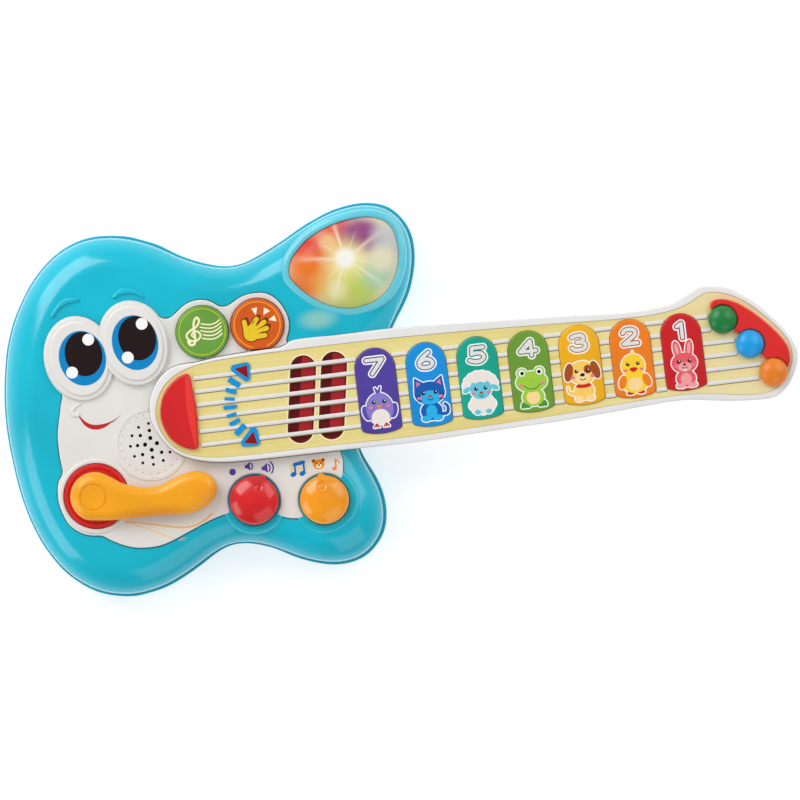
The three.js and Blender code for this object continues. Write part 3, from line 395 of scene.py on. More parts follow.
# ---- meshes -------------------------------------------------------------------------------------
class Solid:
    def __init__(self):
        self.v, self.f, self.m = [], [], []

    def ring(self, p, z):
        k = len(self.v)
        zs = np.broadcast_to(np.asarray(z, float), (len(p),))
        self.v.extend((float(a), float(b), float(c)) for (a, b), c in zip(p, zs))
        return np.arange(k, k + len(p))

    def wall(self, a, b, m=0):
        n = len(a)
        for i in range(n):
            j = (i + 1) % n
            self.f.append((int(a[i]), int(a[j]), int(b[j]), int(b[i])))
            self.m.append(m)

    def cap(self, loops, up=True, m=0):
        flat = np.concatenate(loops)
        tris = tessellate_polygon([[Vector((self.v[i][0], self.v[i][1], 0)) for i in loop] for loop in loops])
        for t in tris:
            a, b, c = (int(flat[k]) for k in t)
            (ax, ay, _), (bx, by, _), (cx, cy, _) = self.v[a], self.v[b], self.v[c]
            area = (bx - ax) * (cy - ay) - (by - ay) * (cx - ax)
            if abs(area) < 1e-9:
                continue
            self.f.append((a, b, c) if (area > 0) == up else (a, c, b))
            self.m.append(m)

    def loft(self, rings, m=0, caps=(True, True)):
        """Rings of equal count. The first cap faces down, the last faces up."""
        ids = [self.ring(p, z) for p, z in rings]
        for a, b in zip(ids, ids[1:]):
            self.wall(a, b, m)
        if caps[0]:
            self.cap([ids[0]], False, m)
        if caps[1]:
            self.cap([ids[-1]], True, m)
        return ids

    def turned(self, c, profile, n=96, m=0):
        """profile: (radius, z), from the lower middle outwards and up."""
        last = None
        for r, z in profile:
            if r <= 1e-6:
                k = len(self.v)
                self.v.append((c[0], c[1], z))
                new = np.array([k])
            else:
                new = self.ring(ring_pts(c, r, n), z)
            if last is not None:
                if len(last) == 1 and len(new) > 1:
                    for i in range(n):
                        self.f.append((int(last[0]), int(new[(i + 1) % n]), int(new[i])))
                        self.m.append(m)
                elif len(new) == 1 and len(last) > 1:
                    for i in range(n):
                        self.f.append((int(last[i]), int(last[(i + 1) % n]), int(new[0])))
                        self.m.append(m)
                elif len(new) > 1:
                    self.wall(last, new, m)
            last = new

    def plate(self, outer, holes, z0, z1, r=0.4, seg=4, m=0, hole_r=None, lift=None):
        """A flat piece between z0 and z1 with a rounded upper edge."""
        hole_r = r if hole_r is None else hole_r

        def edge(p, sign, rr):
            steps = [(0.0, z0), (0.0, z1 - rr)]
            if rr > 0:
                steps += [(rr * (1 - math.cos(a)), z1 - rr + rr * math.sin(a)) for a in np.linspace(0, math.pi / 2, seg + 1)[1:]]
            ids = []
            for d, z in steps:
                q = inset(p, sign * d) if d else p
                ids.append(self.ring(q, z if lift is None else z + lift(q[:, 0], q[:, 1])))
            return ids

        o = edge(outer, 1, r)
        hs = [edge(p, -1, hole_r) for p in holes]
        for a, b in zip(o, o[1:]):
            self.wall(a, b, m)
        for h in hs:
            for a, b in zip(h, h[1:]):
                self.wall(b, a, m)
        self.cap([o[0]] + [h[0] for h in hs], False, m)
        self.cap([o[-1]] + [h[-1] for h in hs], True, m)
        return self

    def shape(self, f, box, z0, z1, r=0.0, seg=3, m=0, h=0.15, tol=0.012, lift=None):
        for outer, holes in contours(f, box, h, tol):
            self.plate(outer, holes, z0, z1, r, seg, m, lift=lift)
        return self

    def flipped(self):
        """Mirrored through z = 0."""
        self.v = [(x, y, -z) for x, y, z in self.v]
        self.f = [t[::-1] for t in self.f]
        return self


def raw_mesh(name, s):
    me = bpy.data.meshes.new(name)
    me.from_pydata([(x * 0.001, y * 0.001, z * 0.001) for x, y, z in s.v], [], s.f)
    me.polygons.foreach_set("material_index", s.m)
    me.update()
    return me


def piece(name, s, mats, body="guitar", replaces=(), angle=32, cutters=(), weighted=True):
    me = raw_mesh(name, s)
    o = bpy.data.objects.new(name, me)
    bpy.context.scene.collection.objects.link(o)
    for m in mats if isinstance(mats, (list, tuple)) else [mats]:
        me.materials.append(m)
    if cutters:
        tools = []
        for k, c in enumerate(cutters):
            t = bpy.data.objects.new(f"{name}_tool_{k}", raw_mesh(f"{name}_tool_{k}", c))
            bpy.context.scene.collection.objects.link(t)
            mod = o.modifiers.new(f"cut{k}", "BOOLEAN")
            mod.operation, mod.solver, mod.object = "DIFFERENCE", "EXACT", t
            tools.append(t)
        bpy.context.view_layer.update()
        done = bpy.data.meshes.new_from_object(o.evaluated_get(bpy.context.evaluated_depsgraph_get()))
        o.modifiers.clear()
        o.data = done
        for t in tools:
            bpy.data.objects.remove(t)
        me = done
        me.name = name
    me.polygons.foreach_set("use_smooth", [True] * len(me.polygons))
    me.set_sharp_from_angle(angle=math.radians(angle))
    if weighted:
        w = o.modifiers.new("normals", "WEIGHTED_NORMAL")
        w.keep_sharp, w.weight = True, 60
    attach(o, body)
    if replaces:
        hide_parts(*replaces)
    return o


# ---- materials ----------------------------------------------------------------------------------
def lin(rgb):
    return tuple(v / 255 / 12.92 if v / 255 <= 0.04045 else ((v / 255 + 0.055) / 1.055) ** 2.4 for v in rgb) + (1.0,)


class Nodes:
    def __init__(self, name):
        self.mat = bpy.data.materials.new(name)
        self.mat.use_nodes = True
        self.t = self.mat.node_tree
        self.t.nodes.clear()
        self.out = self.t.nodes.new("ShaderNodeOutputMaterial")
        self.bsdf = self.t.nodes.new("ShaderNodeBsdfPrincipled")
        self.t.links.new(self.bsdf.outputs[0], self.out.inputs[0])
        self.at = self.new("ShaderNodeTexCoord").outputs["Object"]

    def new(self, kind, **props):
        n = self.t.nodes.new(kind)
        for k, v in props.items():
            setattr(n, k, v)
        return n

    def put(self, socket, v):
        if hasattr(v, "is_output") or isinstance(v, bpy.types.NodeSocket):
            self.t.links.new(v, socket)
        else:
            socket.default_value = v

    def math(self, op, a, b=0.0, clamp=False):
        n = self.new("ShaderNodeMath", operation=op, use_clamp=clamp)
        self.put(n.inputs[0], a)
        self.put(n.inputs[1], b)
        return n.outputs[0]

    def noise(self, scale, detail=3.0, rough=0.5, stretch=None):
        n = self.new("ShaderNodeTexNoise")
        at = self.at
        if stretch:
            mp = self.new("ShaderNodeMapping")
            self.put(mp.inputs["Vector"], self.at)
            mp.inputs["Scale"].default_value = stretch
            at = mp.outputs[0]
        self.put(n.inputs["Vector"], at)
        n.inputs["Scale"].default_value = scale
        n.inputs["Detail"].default_value = detail
        n.inputs["Roughness"].default_value = rough
        return n.outputs["Fac"]

    def spread(self, v, lo, hi, a=0.3, b=0.7):
        n = self.new("ShaderNodeMapRange")
        self.put(n.inputs["Value"], v)
        for k, x in (("From Min", a), ("From Max", b), ("To Min", lo), ("To Max", hi)):
            n.inputs[k].default_value = x
        return n.outputs[0]

    def mix(self, fac, a, b, kind="MIX"):
        n = self.new("ShaderNodeMix", data_type="RGBA", blend_type=kind)
        self.put(n.inputs[0], fac)
        self.put(n.inputs[6], a)
        self.put(n.inputs[7], b)
        return n.outputs[2]

    def bump(self, height, strength, distance):
        n = self.new("ShaderNodeBump")
        self.put(n.inputs["Height"], height)
        n.inputs["Strength"].default_value = strength
        n.inputs["Distance"].default_value = distance
        self.t.links.new(n.outputs[0], self.bsdf.inputs["Normal"])

    def set(self, **kw):
        for k, v in kw.items():
            self.put(self.bsdf.inputs[k.replace("_", " ")], v)
        return self.mat

    def near(self, x, y, r0, r1, squash=1.0):
        """1 within r0 of a point of the plan, falling to 0 at r1, in millimetres."""
        sp = self.new("ShaderNodeSeparateXYZ")
        self.put(sp.inputs[0], self.at)
        dx = self.math("SUBTRACT", sp.outputs[0], x * 0.001)
        dy = self.math("MULTIPLY", self.math("SUBTRACT", sp.outputs[1], y * 0.001), squash)
        d = self.math("SQRT", self.math("ADD", self.math("MULTIPLY", dx, dx), self.math("MULTIPLY", dy, dy)))
        n = self.new("ShaderNodeMapRange", interpolation_type="SMOOTHSTEP")
        self.put(n.inputs["Value"], d)
        for k, v in (("From Min", r0 * 0.001), ("From Max", r1 * 0.001), ("To Min", 1.0), ("To Max", 0.0)):
            n.inputs[k].default_value = v
        return n.outputs[0]


def shade(rgb, k):
    return tuple(max(0, min(255, v * k)) for v in rgb)


def plastic(name, rgb, rough=0.26, coat=0.25, vary=0.05, bump=0.05, metal=0.0, painted_light_and_shade=None):
    """Glossy moulded plastic: slow colour drift, uneven polish and a fine moulded skin, plus any soft round patches of
    painted light and painted shade that are given.
    """
    n = Nodes(name)
    slow, fine = n.noise(22, 2.0), n.noise(160, 4.0, 0.6)
    colour = n.mix(n.spread(slow, 0.0, 1.0), lin(shade(rgb, 1 - vary)), lin(shade(rgb, 1 + vary)))
    colour = n.mix(n.spread(fine, 0.0, 0.12), colour, lin(shade(rgb, 1 - 2.5 * vary)))
    if painted_light_and_shade:
        # Soft round patches of painted light and painted shade, mixed into the colour toward a given tint.
        for (x, y, r0, r1, sq), c, k in painted_light_and_shade:
            colour = n.mix(n.math("MULTIPLY", n.near(x, y, r0, r1, sq), k), colour, lin(c))
    n.bump(n.noise(1400, 2.0), bump, 0.0001)
    return n.set(Base_Color=colour, Roughness=n.spread(fine, rough - 0.04, rough + 0.07), Metallic=metal, Coat_Weight=coat, Coat_Roughness=0.12, Specular_IOR_Level=0.4)


def ink(name, rgb, rough=0.3):
    """Printed ink: flat colour with a slight screen-print grain."""
    n = Nodes(name)
    g = n.noise(700, 3.0, 0.6)
    n.bump(g, 0.04, 0.00005)
    return n.set(Base_Color=n.mix(n.spread(g, 0.0, 1.0), lin(shade(rgb, 0.985)), lin(shade(rgb, 1.015))), Roughness=n.spread(g, rough - 0.04, rough + 0.05), Coat_Weight=0.06, Coat_Roughness=0.2, Specular_IOR_Level=0.22)


def wood_print():
    n = Nodes("wood_print")
    streak = n.noise(1.0, 6.0, 0.65, (14, 520, 1))
    wide = n.noise(1.0, 3.0, 0.5, (5, 90, 1))
    fine = n.noise(1.0, 5.0, 0.7, (60, 1500, 1))
    c = n.mix(n.spread(wide, 0.0, 1.0, 0.35, 0.65), lin((224, 206, 124)), lin((236, 222, 150)))
    c = n.mix(n.spread(streak, 0.0, 0.55, 0.45, 0.7), c, lin((240, 226, 162)))
    c = n.mix(n.spread(fine, 0.0, 0.35, 0.5, 0.8), c, lin((214, 190, 112)))
    sp = n.new("ShaderNodeSeparateXYZ")
    n.put(sp.inputs[0], n.at)
    along = n.math("ADD", sp.outputs[0], n.math("MULTIPLY", wide, 0.05))
    c = n.mix(n.spread(along, 0.0, 0.8, 0.12, 0.24), c, n.mix(n.spread(streak, 0.0, 1.0, 0.4, 0.62), lin((236, 222, 184)), lin((240, 222, 158))))
    n.bump(fine, 0.08, 0.0001)
    return n.set(Base_Color=c, Roughness=n.spread(streak, 0.36, 0.46), Coat_Weight=0.1, Coat_Roughness=0.2, Specular_IOR_Level=0.35)


def board_green():
    n = Nodes("circuit_board")
    v = n.new("ShaderNodeTexVoronoi", feature="F1", distance="MANHATTAN")
    n.put(v.inputs["Vector"], n.at)
    v.inputs["Scale"].default_value = 260
    c = n.mix(n.spread(v.outputs["Distance"], 0.0, 1.0, 0.15, 0.3), lin((52, 140, 70)), lin((26, 96, 46)))
    n.bump(v.outputs["Distance"], 0.1, 0.0001)
    return n.set(Base_Color=c, Roughness=n.spread(n.noise(120), 0.35, 0.5), Coat_Weight=0.3, Coat_Roughness=0.2)


def steel(name, rgb=(196, 200, 204), rough=0.28):
    n = Nodes(name)
    g = n.noise(1.0, 4.0, 0.6, (900, 900, 90))
    n.bump(g, 0.06, 0.00005)
    return n.set(Base_Color=n.mix(n.spread(g, 0.0, 1.0), lin(shade(rgb, 0.9)), lin(rgb)), Roughness=n.spread(g, rough - 0.06, rough + 0.1), Metallic=1.0)


def lens_glow():
    """A pale domed lens with the light of coloured lamps inside painted on: coloured spots, rays and a bright core in
    its colour and emission.
    """
    n = Nodes("light_lens")
    c = lin((238, 226, 190))
    spots = [
        ((-41, 79, 5, 21, 1.0), (222, 40, 12), 1.0), ((-25, 90, 4, 17, 1.0), (224, 66, 40), 0.95), ((-43, 66, 7, 19, 1.0), (238, 118, 6), 1.0),
        ((-33, 59, 2, 15, 1.0), (238, 200, 110), 0.7), ((-12, 87, 5, 17, 1.2), (146, 60, 120), 1.0), ((-5, 82, 2, 13, 1.0), (152, 70, 132), 0.9),
        ((-18, 56, 7, 19, 1.0), (190, 208, 88), 1.0), ((-28, 50, 3, 14, 1.0), (206, 206, 110), 0.8), ((-5, 63, 4, 14, 1.0), (172, 210, 178), 0.9),
        ((3, 79, 4, 14, 0.7), (194, 198, 200), 0.85), ((-1, 71, 3, 11, 1.0), (236, 230, 190), 0.8), ((-29, 56, 2, 9, 1.0), (240, 228, 176), 0.7),
        ((-31, 84, 2, 8, 1.0), (236, 190, 130), 0.75), ((-22.5, 72.5, 2, 19, 1.0), (246, 232, 150), 0.9), ((-22, 73.7, 3.0, 8.0, 1.0), (252, 252, 246), 1.0),
    ]
    for at, rgb, k in spots:
        c = n.mix(n.math("MULTIPLY", n.near(*at), k), c, lin(rgb))
    sp = n.new("ShaderNodeSeparateXYZ")
    n.put(sp.inputs[0], n.at)
    # Painted rays of lamp light spreading from the bright core.
    a = n.math("ARCTAN2", n.math("SUBTRACT", sp.outputs[1], 0.0737), n.math("SUBTRACT", sp.outputs[0], -0.0219))
    beam = n.math("POWER", n.math("ABSOLUTE", n.math("COSINE", n.math("MULTIPLY", n.math("ADD", a, 0.72), 2.5))), 60.0)
    c = n.mix(n.math("MULTIPLY", beam, n.math("MULTIPLY", n.near(-22, 73.7, 8, 34), 0.6)), c, lin((252, 240, 214)))
    short = n.math("POWER", n.math("ABSOLUTE", n.math("COSINE", n.math("MULTIPLY", n.math("ADD", a, 0.3), 4.5))), 40.0)
    c = n.mix(n.math("MULTIPLY", short, n.math("MULTIPLY", n.near(-22, 73.7, 5, 19), 0.5)), c, lin((252, 240, 214)))
    cloud = n.noise(90, 2.0)
    c = n.mix(n.spread(cloud, 0.0, 0.08), c, lin((255, 250, 236)))
    n.bump(n.noise(420, 2.0), 0.05, 0.0002)
    return n.set(Base_Color=n.mix(0.34, c, (0, 0, 0, 1)), Roughness=n.spread(cloud, 0.34, 0.42), Emission_Color=c, Emission_Strength=0.27, Coat_Weight=0.05, Coat_Roughness=0.25, Specular_IOR_Level=0.25)


CYAN = (0, 184, 208)
M = {
    # The blue shell carries a painted light patch: a pale spot on the deck below the lens stands for light spilled and
    # reflected there.
    "shell": plastic("blue_shell", CYAN, 0.16, 0.42, 0.035, painted_light_and_shade=[((-42, 41, 3, 15, 1.9), (150, 205, 190), 0.75)]),
    "collar": plastic("pale_collar", (96, 202, 220), 0.16, 0.5, 0.035),
    "rear": plastic("rear_shell", (2, 172, 200), 0.22, 0.35, 0.04),
    "panel": plastic("white_panel", (228, 226, 222), 0.32, 0.2, 0.012),
    "neck": plastic("white_neck", (232, 231, 229), 0.3, 0.15, 0.012),
    "wood": wood_print(),
    "string": ink("string_print", (226, 224, 222)),
    # Brownish painted shadow along the lower side of each string.
    "string_painted_shadow": ink("string_edge_print", (150, 132, 92)),
    "red": plastic("red_plastic", (208, 26, 32), 0.24, 0.3, 0.05),
    # Lighter red used as a painted highlight on the bridge's bevel face.
    "red_painted_highlight": plastic("red_bevel_painted_highlight", (232, 52, 42), 0.24, 0.3, 0.04),
    "lever_disc": plastic("red_disc", (220, 34, 36), 0.26, 0.25, 0.04),
    "red_knob": plastic("red_knob", (212, 26, 30), 0.16, 0.5, 0.09),
    "amber_knob": plastic("amber_knob", (240, 150, 18), 0.16, 0.5, 0.08),
    # The lever's orange patches along its lower edge and right end are painted shade: the lower part is darker and
    # more orange.
    "gold": plastic("lever_plastic", (246, 166, 14), 0.28, 0.25, 0.04, painted_light_and_shade=[((-150, -60, 4, 26, 3.2), (232, 136, 30), 0.55), ((-117, -52, 2, 12, 1.0), (236, 140, 30), 0.35)]),
    "green": plastic("green_button", (104, 158, 60), 0.24, 0.3, 0.06),
    "orange": plastic("orange_button", (212, 88, 14), 0.24, 0.3, 0.06),
    "ball_green": plastic("tuner_green", (4, 122, 54), 0.3, 0.15, 0.08),
    "ball_blue": plastic("tuner_blue", (6, 156, 224), 0.3, 0.15, 0.06),
    "ball_orange": plastic("tuner_orange", (236, 130, 26), 0.3, 0.15, 0.06),
    "bar": plastic("head_bar", (222, 36, 34), 0.22, 0.4, 0.05),
    "lens": lens_glow(),
    "window": plastic("window_red", (176, 16, 28), 0.18, 0.5, 0.06),
    # Dark maroon used as painted shadow inside the recessed strum windows.
    "maroon": ink("maroon_print", (98, 10, 14)),
    "dark_red": ink("dark_red_print", (140, 16, 22)),
    "cream": ink("cream_print", (250, 238, 198)),
    "white": ink("white_print", (246, 246, 246)),
    "black": ink("black_print", (24, 14, 16)),
    "pupil": ink("pupil_print", (26, 8, 11), 0.4),
    "iris": ink("iris_print", (0, 132, 196), 0.36),
    "art_blue": ink("arrow_print", (18, 146, 214)),
    "gold_ink": ink("gold_print", (236, 172, 34)),
    "purple_ink": ink("purple_print", (88, 62, 160)),
    "yellow_ink": ink("yellow_print", (232, 196, 40)),
    "lime_ink": ink("lime_print", (186, 200, 44)),
    "amber_ink": ink("amber_print", (248, 172, 40)),
    "orange_ink": ink("orange_print", (240, 140, 36)),
    "brown_ink": ink("brown_print", (120, 50, 22)),
    "blue_ink": ink("blue_print", (20, 110, 190)),
    "pink_ink": ink("pink_print", (236, 140, 150)),
    "line": ink("line_print", (52, 42, 60)),
    "board": board_green(),
    "steel": steel("steel"),
    "contact": steel("contact_plate", (206, 206, 198), 0.22),
    "silicone": plastic("silicone", (212, 214, 214), 0.6, 0.0, 0.04),
    "cell": plastic("battery_jacket", (52, 58, 64), 0.3, 0.3, 0.08),
    "black_part": plastic("black_plastic", (40, 43, 46), 0.42, 0.05, 0.08),
    "switch": plastic("switch_body", (84, 88, 92), 0.4, 0.1, 0.06),
    "basket": steel("speaker_metal", (104, 108, 112), 0.4),
    "paper": plastic("speaker_paper", (40, 42, 44), 0.85, 0.0, 0.12, bump=0.3),
    "reflector": plastic("reflector_white", (242, 242, 238), 0.35, 0.1, 0.02),
    "lamp_red": plastic("lamp_red", (216, 58, 46), 0.12, 0.5, 0.03),
    "lamp_green": plastic("lamp_green", (64, 174, 74), 0.12, 0.5, 0.03),
    "lamp_blue": plastic("lamp_blue", (46, 98, 202), 0.12, 0.5, 0.03),
}
KEY_RGB = {7: (78, 60, 156), 6: (0, 142, 218), 5: (0, 164, 142), 4: (106, 154, 48), 3: (238, 174, 12), 2: (240, 126, 18), 1: (200, 20, 28)}

# ---- shared lines -------------------------------------------------------------------------------
body = spline(BODY_LINE, 420, 6)
neck = spline(NECK_LINE, 560, 2)
board = spline(BOARD_LINE, 420, 2)
egg = spline(EGG_LINE, 200, 3)
neck_hole = inset(neck, -GAP)
PANEL_LINE = PANEL_EDGE + arc(VOLUME, RECESS_R, 199, -38, 24) + [-72.6, -70.6, -67.7, -71.4] + arc(MODE, RECESS_R, 213, 44, 20) + [-37.4, -41.5, -38.5, -35.6, -45, 0]
face_whole = soften(resample(curve(pts(PANEL_LINE), True, 6), 900), 3)
face = subtract2d(subtract2d(face_whole, neck_hole), ring_pts(ORANGE_BUTTON, BUTTON_R + GAP, 160))
face_opening = subtract2d(inset(face_whole, -GAP), neck)
neck_f, face_f, egg_f = poly(simplify(neck, 0.03)), poly(simplify(face_whole, 0.03)), poly(simplify(egg, 0.02))
body_f = poly(simplify(body, 0.05))

DS = [0, 0.15, 0.35, 0.45, 0.8, 1.1, 1.7, 1.75, 1.8, 2.2, 2.3, 2.5, 2.9, 3.7, 3.9, 4, 4.1, 4.3, 4.9, 5.2, 6, 7, 7.3, 7.6, 8.4, 8.6, 9.9, 11.3, 12.6, 13, 14, 15.2, 16.5, 17.7, 19, 20]
SHOULDER = [(1.8, 16.3), (1.75, 20), (1.7, 24.4), (2.3, 27.2), (2.9, 28.6), (4, 30.1), (4.9, 31.15), (6, 32.25), (7.3, 33.35), (8.6, 34.3), (9.9, 35.15), (11.3, 35.9), (12.6, 36.5), (14, 37.0), (15.2, 37.35), (16.5, 37.65), (17.7, 37.87), (19, 38.0), (20, 38.0)]
B = deep_insets(body, DS)


def shoulder_z(X, Y):
    d = -body_f(X, Y)
    return np.interp(d, [a for a, _ in sorted(SHOULDER)], [z for _, z in sorted(SHOULDER)])


def clip_right(p, x0):
    q = np.roll(p, -int(np.argmax((p[:, 0] > x0) & (np.roll(p[:, 0], 1) <= x0))), 0)
    q = q[: int(np.argmin(q[:, 0] > x0))]
    return np.vstack([[x0, q[0, 1]], q, [x0, q[-1, 1]]])


def prism(p, z0, z1):
    s = Solid()
    s.loft([(p, z0), (p, z1)])
    return s


def cutter(rows):
    s = Solid()
    s.loft(rows)
    return s


# ---- rear shell ---------------------------------------------------------------------------------
BAY = (-119.5, -58.5, -22.5, 24.5)
wells = [*SHELL_POSTS, (-31, -2)]
s = Solid()
s.loft([(B[7], 0), (B[5.2], 0.22), (B[3.7], 0.75), (B[2.2], 1.65), (B[1.1], 2.9), (B[0.45], 4.5), (B[0], 6.6), (B[0], 15.3), (B[0.35], 15.85), (B[0.8], 16), (B[2.5], 16), (B[2.5], 8), (B[3.9], 4), (B[8.4], 2.4)])
well_tool = Solid()
for c in wells:
    well_tool.loft([(ring_pts(c, 4.1, 40), -0.2), (ring_pts(c, 3.3, 40), 0.6), (ring_pts(c, 3.3, 40), 6)])
tab = round_rect(-62, -43, -5, 9, 3)
door_hole = round_rect(BAY[0] - 2, BAY[1] + 2, BAY[2] - 2, BAY[3] + 2, 4)
piece("rear_shell_skin", s, M["rear"], replaces=("rear_shell",), cutters=(
    cutter([(inset(door_hole, -0.4), -0.2), (door_hole, 0.4), (door_hole, 2.1)]),
    cutter([(inset(tab, -0.4), -0.2), (tab, 0.4), (tab, 2.1)]),
    prism(round_rect(*BAY, 1.2), 1.5, 5), prism(ring_pts((-49.5, 2), 1.6, 32), 1, 6), well_tool))
s = Solid()
bay_in, bay_out = round_rect(*BAY, 1.2), round_rect(BAY[0] - 3.8, BAY[1] + 3.8, BAY[2] - 3.8, BAY[3] + 3.8, 3)
s.loft([(bay_in, 18.2), (bay_in, 2.2), (bay_out, 2.2), (bay_out, 20)])
for c in wells:
    top = 16.6 if c[0] == -31 else 20
    s.turned(c, [(1.7, 12), (3.3, 12), (3.3, 2.2), (4.6, 2.2), (4.6, top), (1.7, top), (1.7, 12)], 40)
s.turned((-49.5, 2), [(1.6, 13.5), (1.6, 2.2), (5.9, 2.2), (5.9, 15), (0, 15)], 40)
piece("rear_shell_wells", s, M["rear"])

# ---- battery door -------------------------------------------------------------------------------
door = Solid()
for outline in contours(union(poly(round_rect(BAY[0] - 1.65, BAY[1] + 1.65, BAY[2] - 1.65, BAY[3] + 1.65, 3.7)), poly(round_rect(-62, -43.35, -4.65, 8.65, 2.7))), (-124, -40, -27, 29), 0.25, 0.02):
    door.plate(outline[0], [], -1.8, -0.25, 0.3, 3)
door.flipped()
grips = Solid()
for i in range(3):
    x = -68 - i * 4
    grips.loft([(round_rect(x - 0.3, x + 1.9, -8.3, 12.3, 0.9), 0.0), (round_rect(x, x + 1.6, -8, 12, 0.75), 0.5), (round_rect(x, x + 1.6, -8, 12, 0.75), 0.85)])
screw_seat = Solid()
screw_seat.turned((-49.5, 2), [(0, -0.2), (3.5, -0.2), (3.15, 0.45), (3.15, 1.0), (0, 1.0)], 48)
piece("battery_door_panel", door, M["rear"], "battery_door", ("battery_door",), cutters=(grips, screw_seat))
cross = Solid()
cross.loft([(round_rect(-51.2, -47.8, 1.6, 2.4, 0.15), 0.1), (round_rect(-51, -48, 1.65, 2.35, 0.15), 0.75)])
cross2 = Solid()
cross2.loft([(round_rect(-49.9, -49.1, 0.3, 3.7, 0.15), 0.1), (round_rect(-49.85, -49.15, 0.5, 3.5, 0.15), 0.75)])
s = Solid()
s.turned((-49.5, 2), [(0, 0.28), (1.6, 0.3), (2.3, 0.42), (2.7, 0.75), (2.7, 0.98), (1.25, 0.98), (1.25, 10.2), (0, 11)], 48)
piece("door_screw_head", s, M["steel"], "battery_door", ("door_screw",), cutters=(cross, cross2))

# ---- front shell --------------------------------------------------------------------------------
s = Solid()
s.loft([(B[19], 35.6), (B[13], 34), (B[7.6], 30), (B[4.3], 25), (B[4.1], 16.3)] + [(B[d], z) for d, z in SHOULDER])
notch = clip_right(neck_hole, -39.95)
face_tool = cutter([(face_opening, 30), (face_opening, 37.5), (inset(face_opening, -0.7), 38.3)])
egg_tool = cutter([(inset(egg, -GAP), 20), (inset(egg, -GAP), 45)])
recess_tool = [cutter([(ring_pts(c, RECESS_R, 120), 30), (ring_pts(c, RECESS_R, 120), 45)]) for c in (VOLUME, MODE)]
piece("front_shell_skin", s, M["shell"], replaces=("front_shell",),
      cutters=(cutter([(notch, 15), (notch, 50)]), egg_tool, *recess_tool, face_tool), angle=24)
for name, c in (("volume", VOLUME), ("mode", MODE)):
    s = Solid()
    s.turned(c, [(14.45, 34), (19.6, 34), (19.6, 37.6), (19.1, 38.2), (18.7, 38.8), (18.3, 39.1), (17.7, 39.2), (16.9, 39.15), (15.6, 38.9), (14.9, 38.7), (14.45, 38.4), (14.45, 34)], 128)
    piece(f"{name}_collar", s, M["shell"], cutters=(face_tool, *([recess_tool[1]] if name == "volume" else [recess_tool[0]])))
s = Solid()
rows = [(-0.35, 33), (-4.9, 33), (-4.9, 36.6), (-4.5, 37.6), (-3.9, 38.2), (-3.1, 38.65), (-2.0, 38.9), (-1.0, 38.9), (-0.5, 38.7), (-0.35, 38.3)]
ids = [s.ring(inset(egg, d), z) for d, z in rows]
for a, b in zip(ids, ids[1:] + ids[:1]):
    s.wall(a, b)
piece("lens_collar", s, M["collar"])
for name, line in (("brow_left", LEFT_BROW), ("brow_right", RIGHT_BROW)):
    s = Solid()
    p = spline(line, 90, 2)
    s.loft([(inset(p, -0.5), 36), (inset(p, -0.35), 38.15), (inset(p, 0), 38.6), (inset(p, 0.15), 39.2), (inset(p, 0.5), 39.65), (inset(p, 0.85), 39.8)])
    piece(name, s, M["shell"])

# ---- face panel ---------------------------------------------------------------------------------
mouth = spline(MOUTH, 80, 1)
holes = [ring_pts(LEVER_SEAT, 18.95, 160), ring_pts(GREEN_BUTTON, BUTTON_R + GAP, 160), mouth]
for r, n, hr in ((3.45, 4, 1.2), (7.8, 8, 1.0), (11.9, 12, 0.85)):
    for i in range(n):
        a = math.radians(i * 360 / n)
        c = (SPEAKER[0] + r * math.cos(a), SPEAKER[1] + r * math.sin(a))
        if neck_f(np.array([c[0]]), np.array([c[1]]))[0] > 1.8:
            holes.append(ring_pts(c, hr, 20))
s = Solid()
s.plate(face, holes, 36.9, PANEL, 0.7, 4, hole_r=0.22)
piece("face_panel_skin", s, M["panel"], replaces=("face_panel",))
s = Solid()
s.shape(grow(poly(mouth), 0.6), (-190, -160, -12, 6), 37.0, 38.95, 0, h=0.2)
# The creases at each end of the mouth are painted shade: thin dark red strokes where the groove runs.
s.shape(less(stroke([(-186.0, 2.9), (-184.6, 1.0)], 0.5, 0.9), poly(mouth)), (-190, -180, -2, 6), 39.2, PANEL + 0.04, 0, m=1, h=0.1)
s.shape(less(stroke([(-166.5, -3.4), (-164.2, -2.2), (-161.4, -0.3)], 0.95, 0.25, True), poly(mouth)), (-170, -158, -7, 2), 39.2, PANEL + 0.04, 0, m=1, h=0.1)
piece("mouth_inlay", s, [M["red"], ink("crease_painted_shade", (196, 120, 116))])
s = Solid()
s.shape(both(less(circle(*SPEAKER, 21.4), circle(*SPEAKER, 18.8)), grow(neck_f, 0) and (lambda X, Y: 0.9 - neck_f(X, Y)), grow(face_f, -0.9)), (-170, -122, -42, 4), 39.0, 39.8, 0.38, 4, h=0.2)
s.shape(both(less(circle(*SPEAKER, 15.6), circle(*SPEAKER, 15.2)), lambda X, Y: 0.9 - neck_f(X, Y)), (-163, -128, -36, -1), 39.2, 39.48, 0.06, 2, h=0.12)
piece("speaker_ring", s, M["panel"])
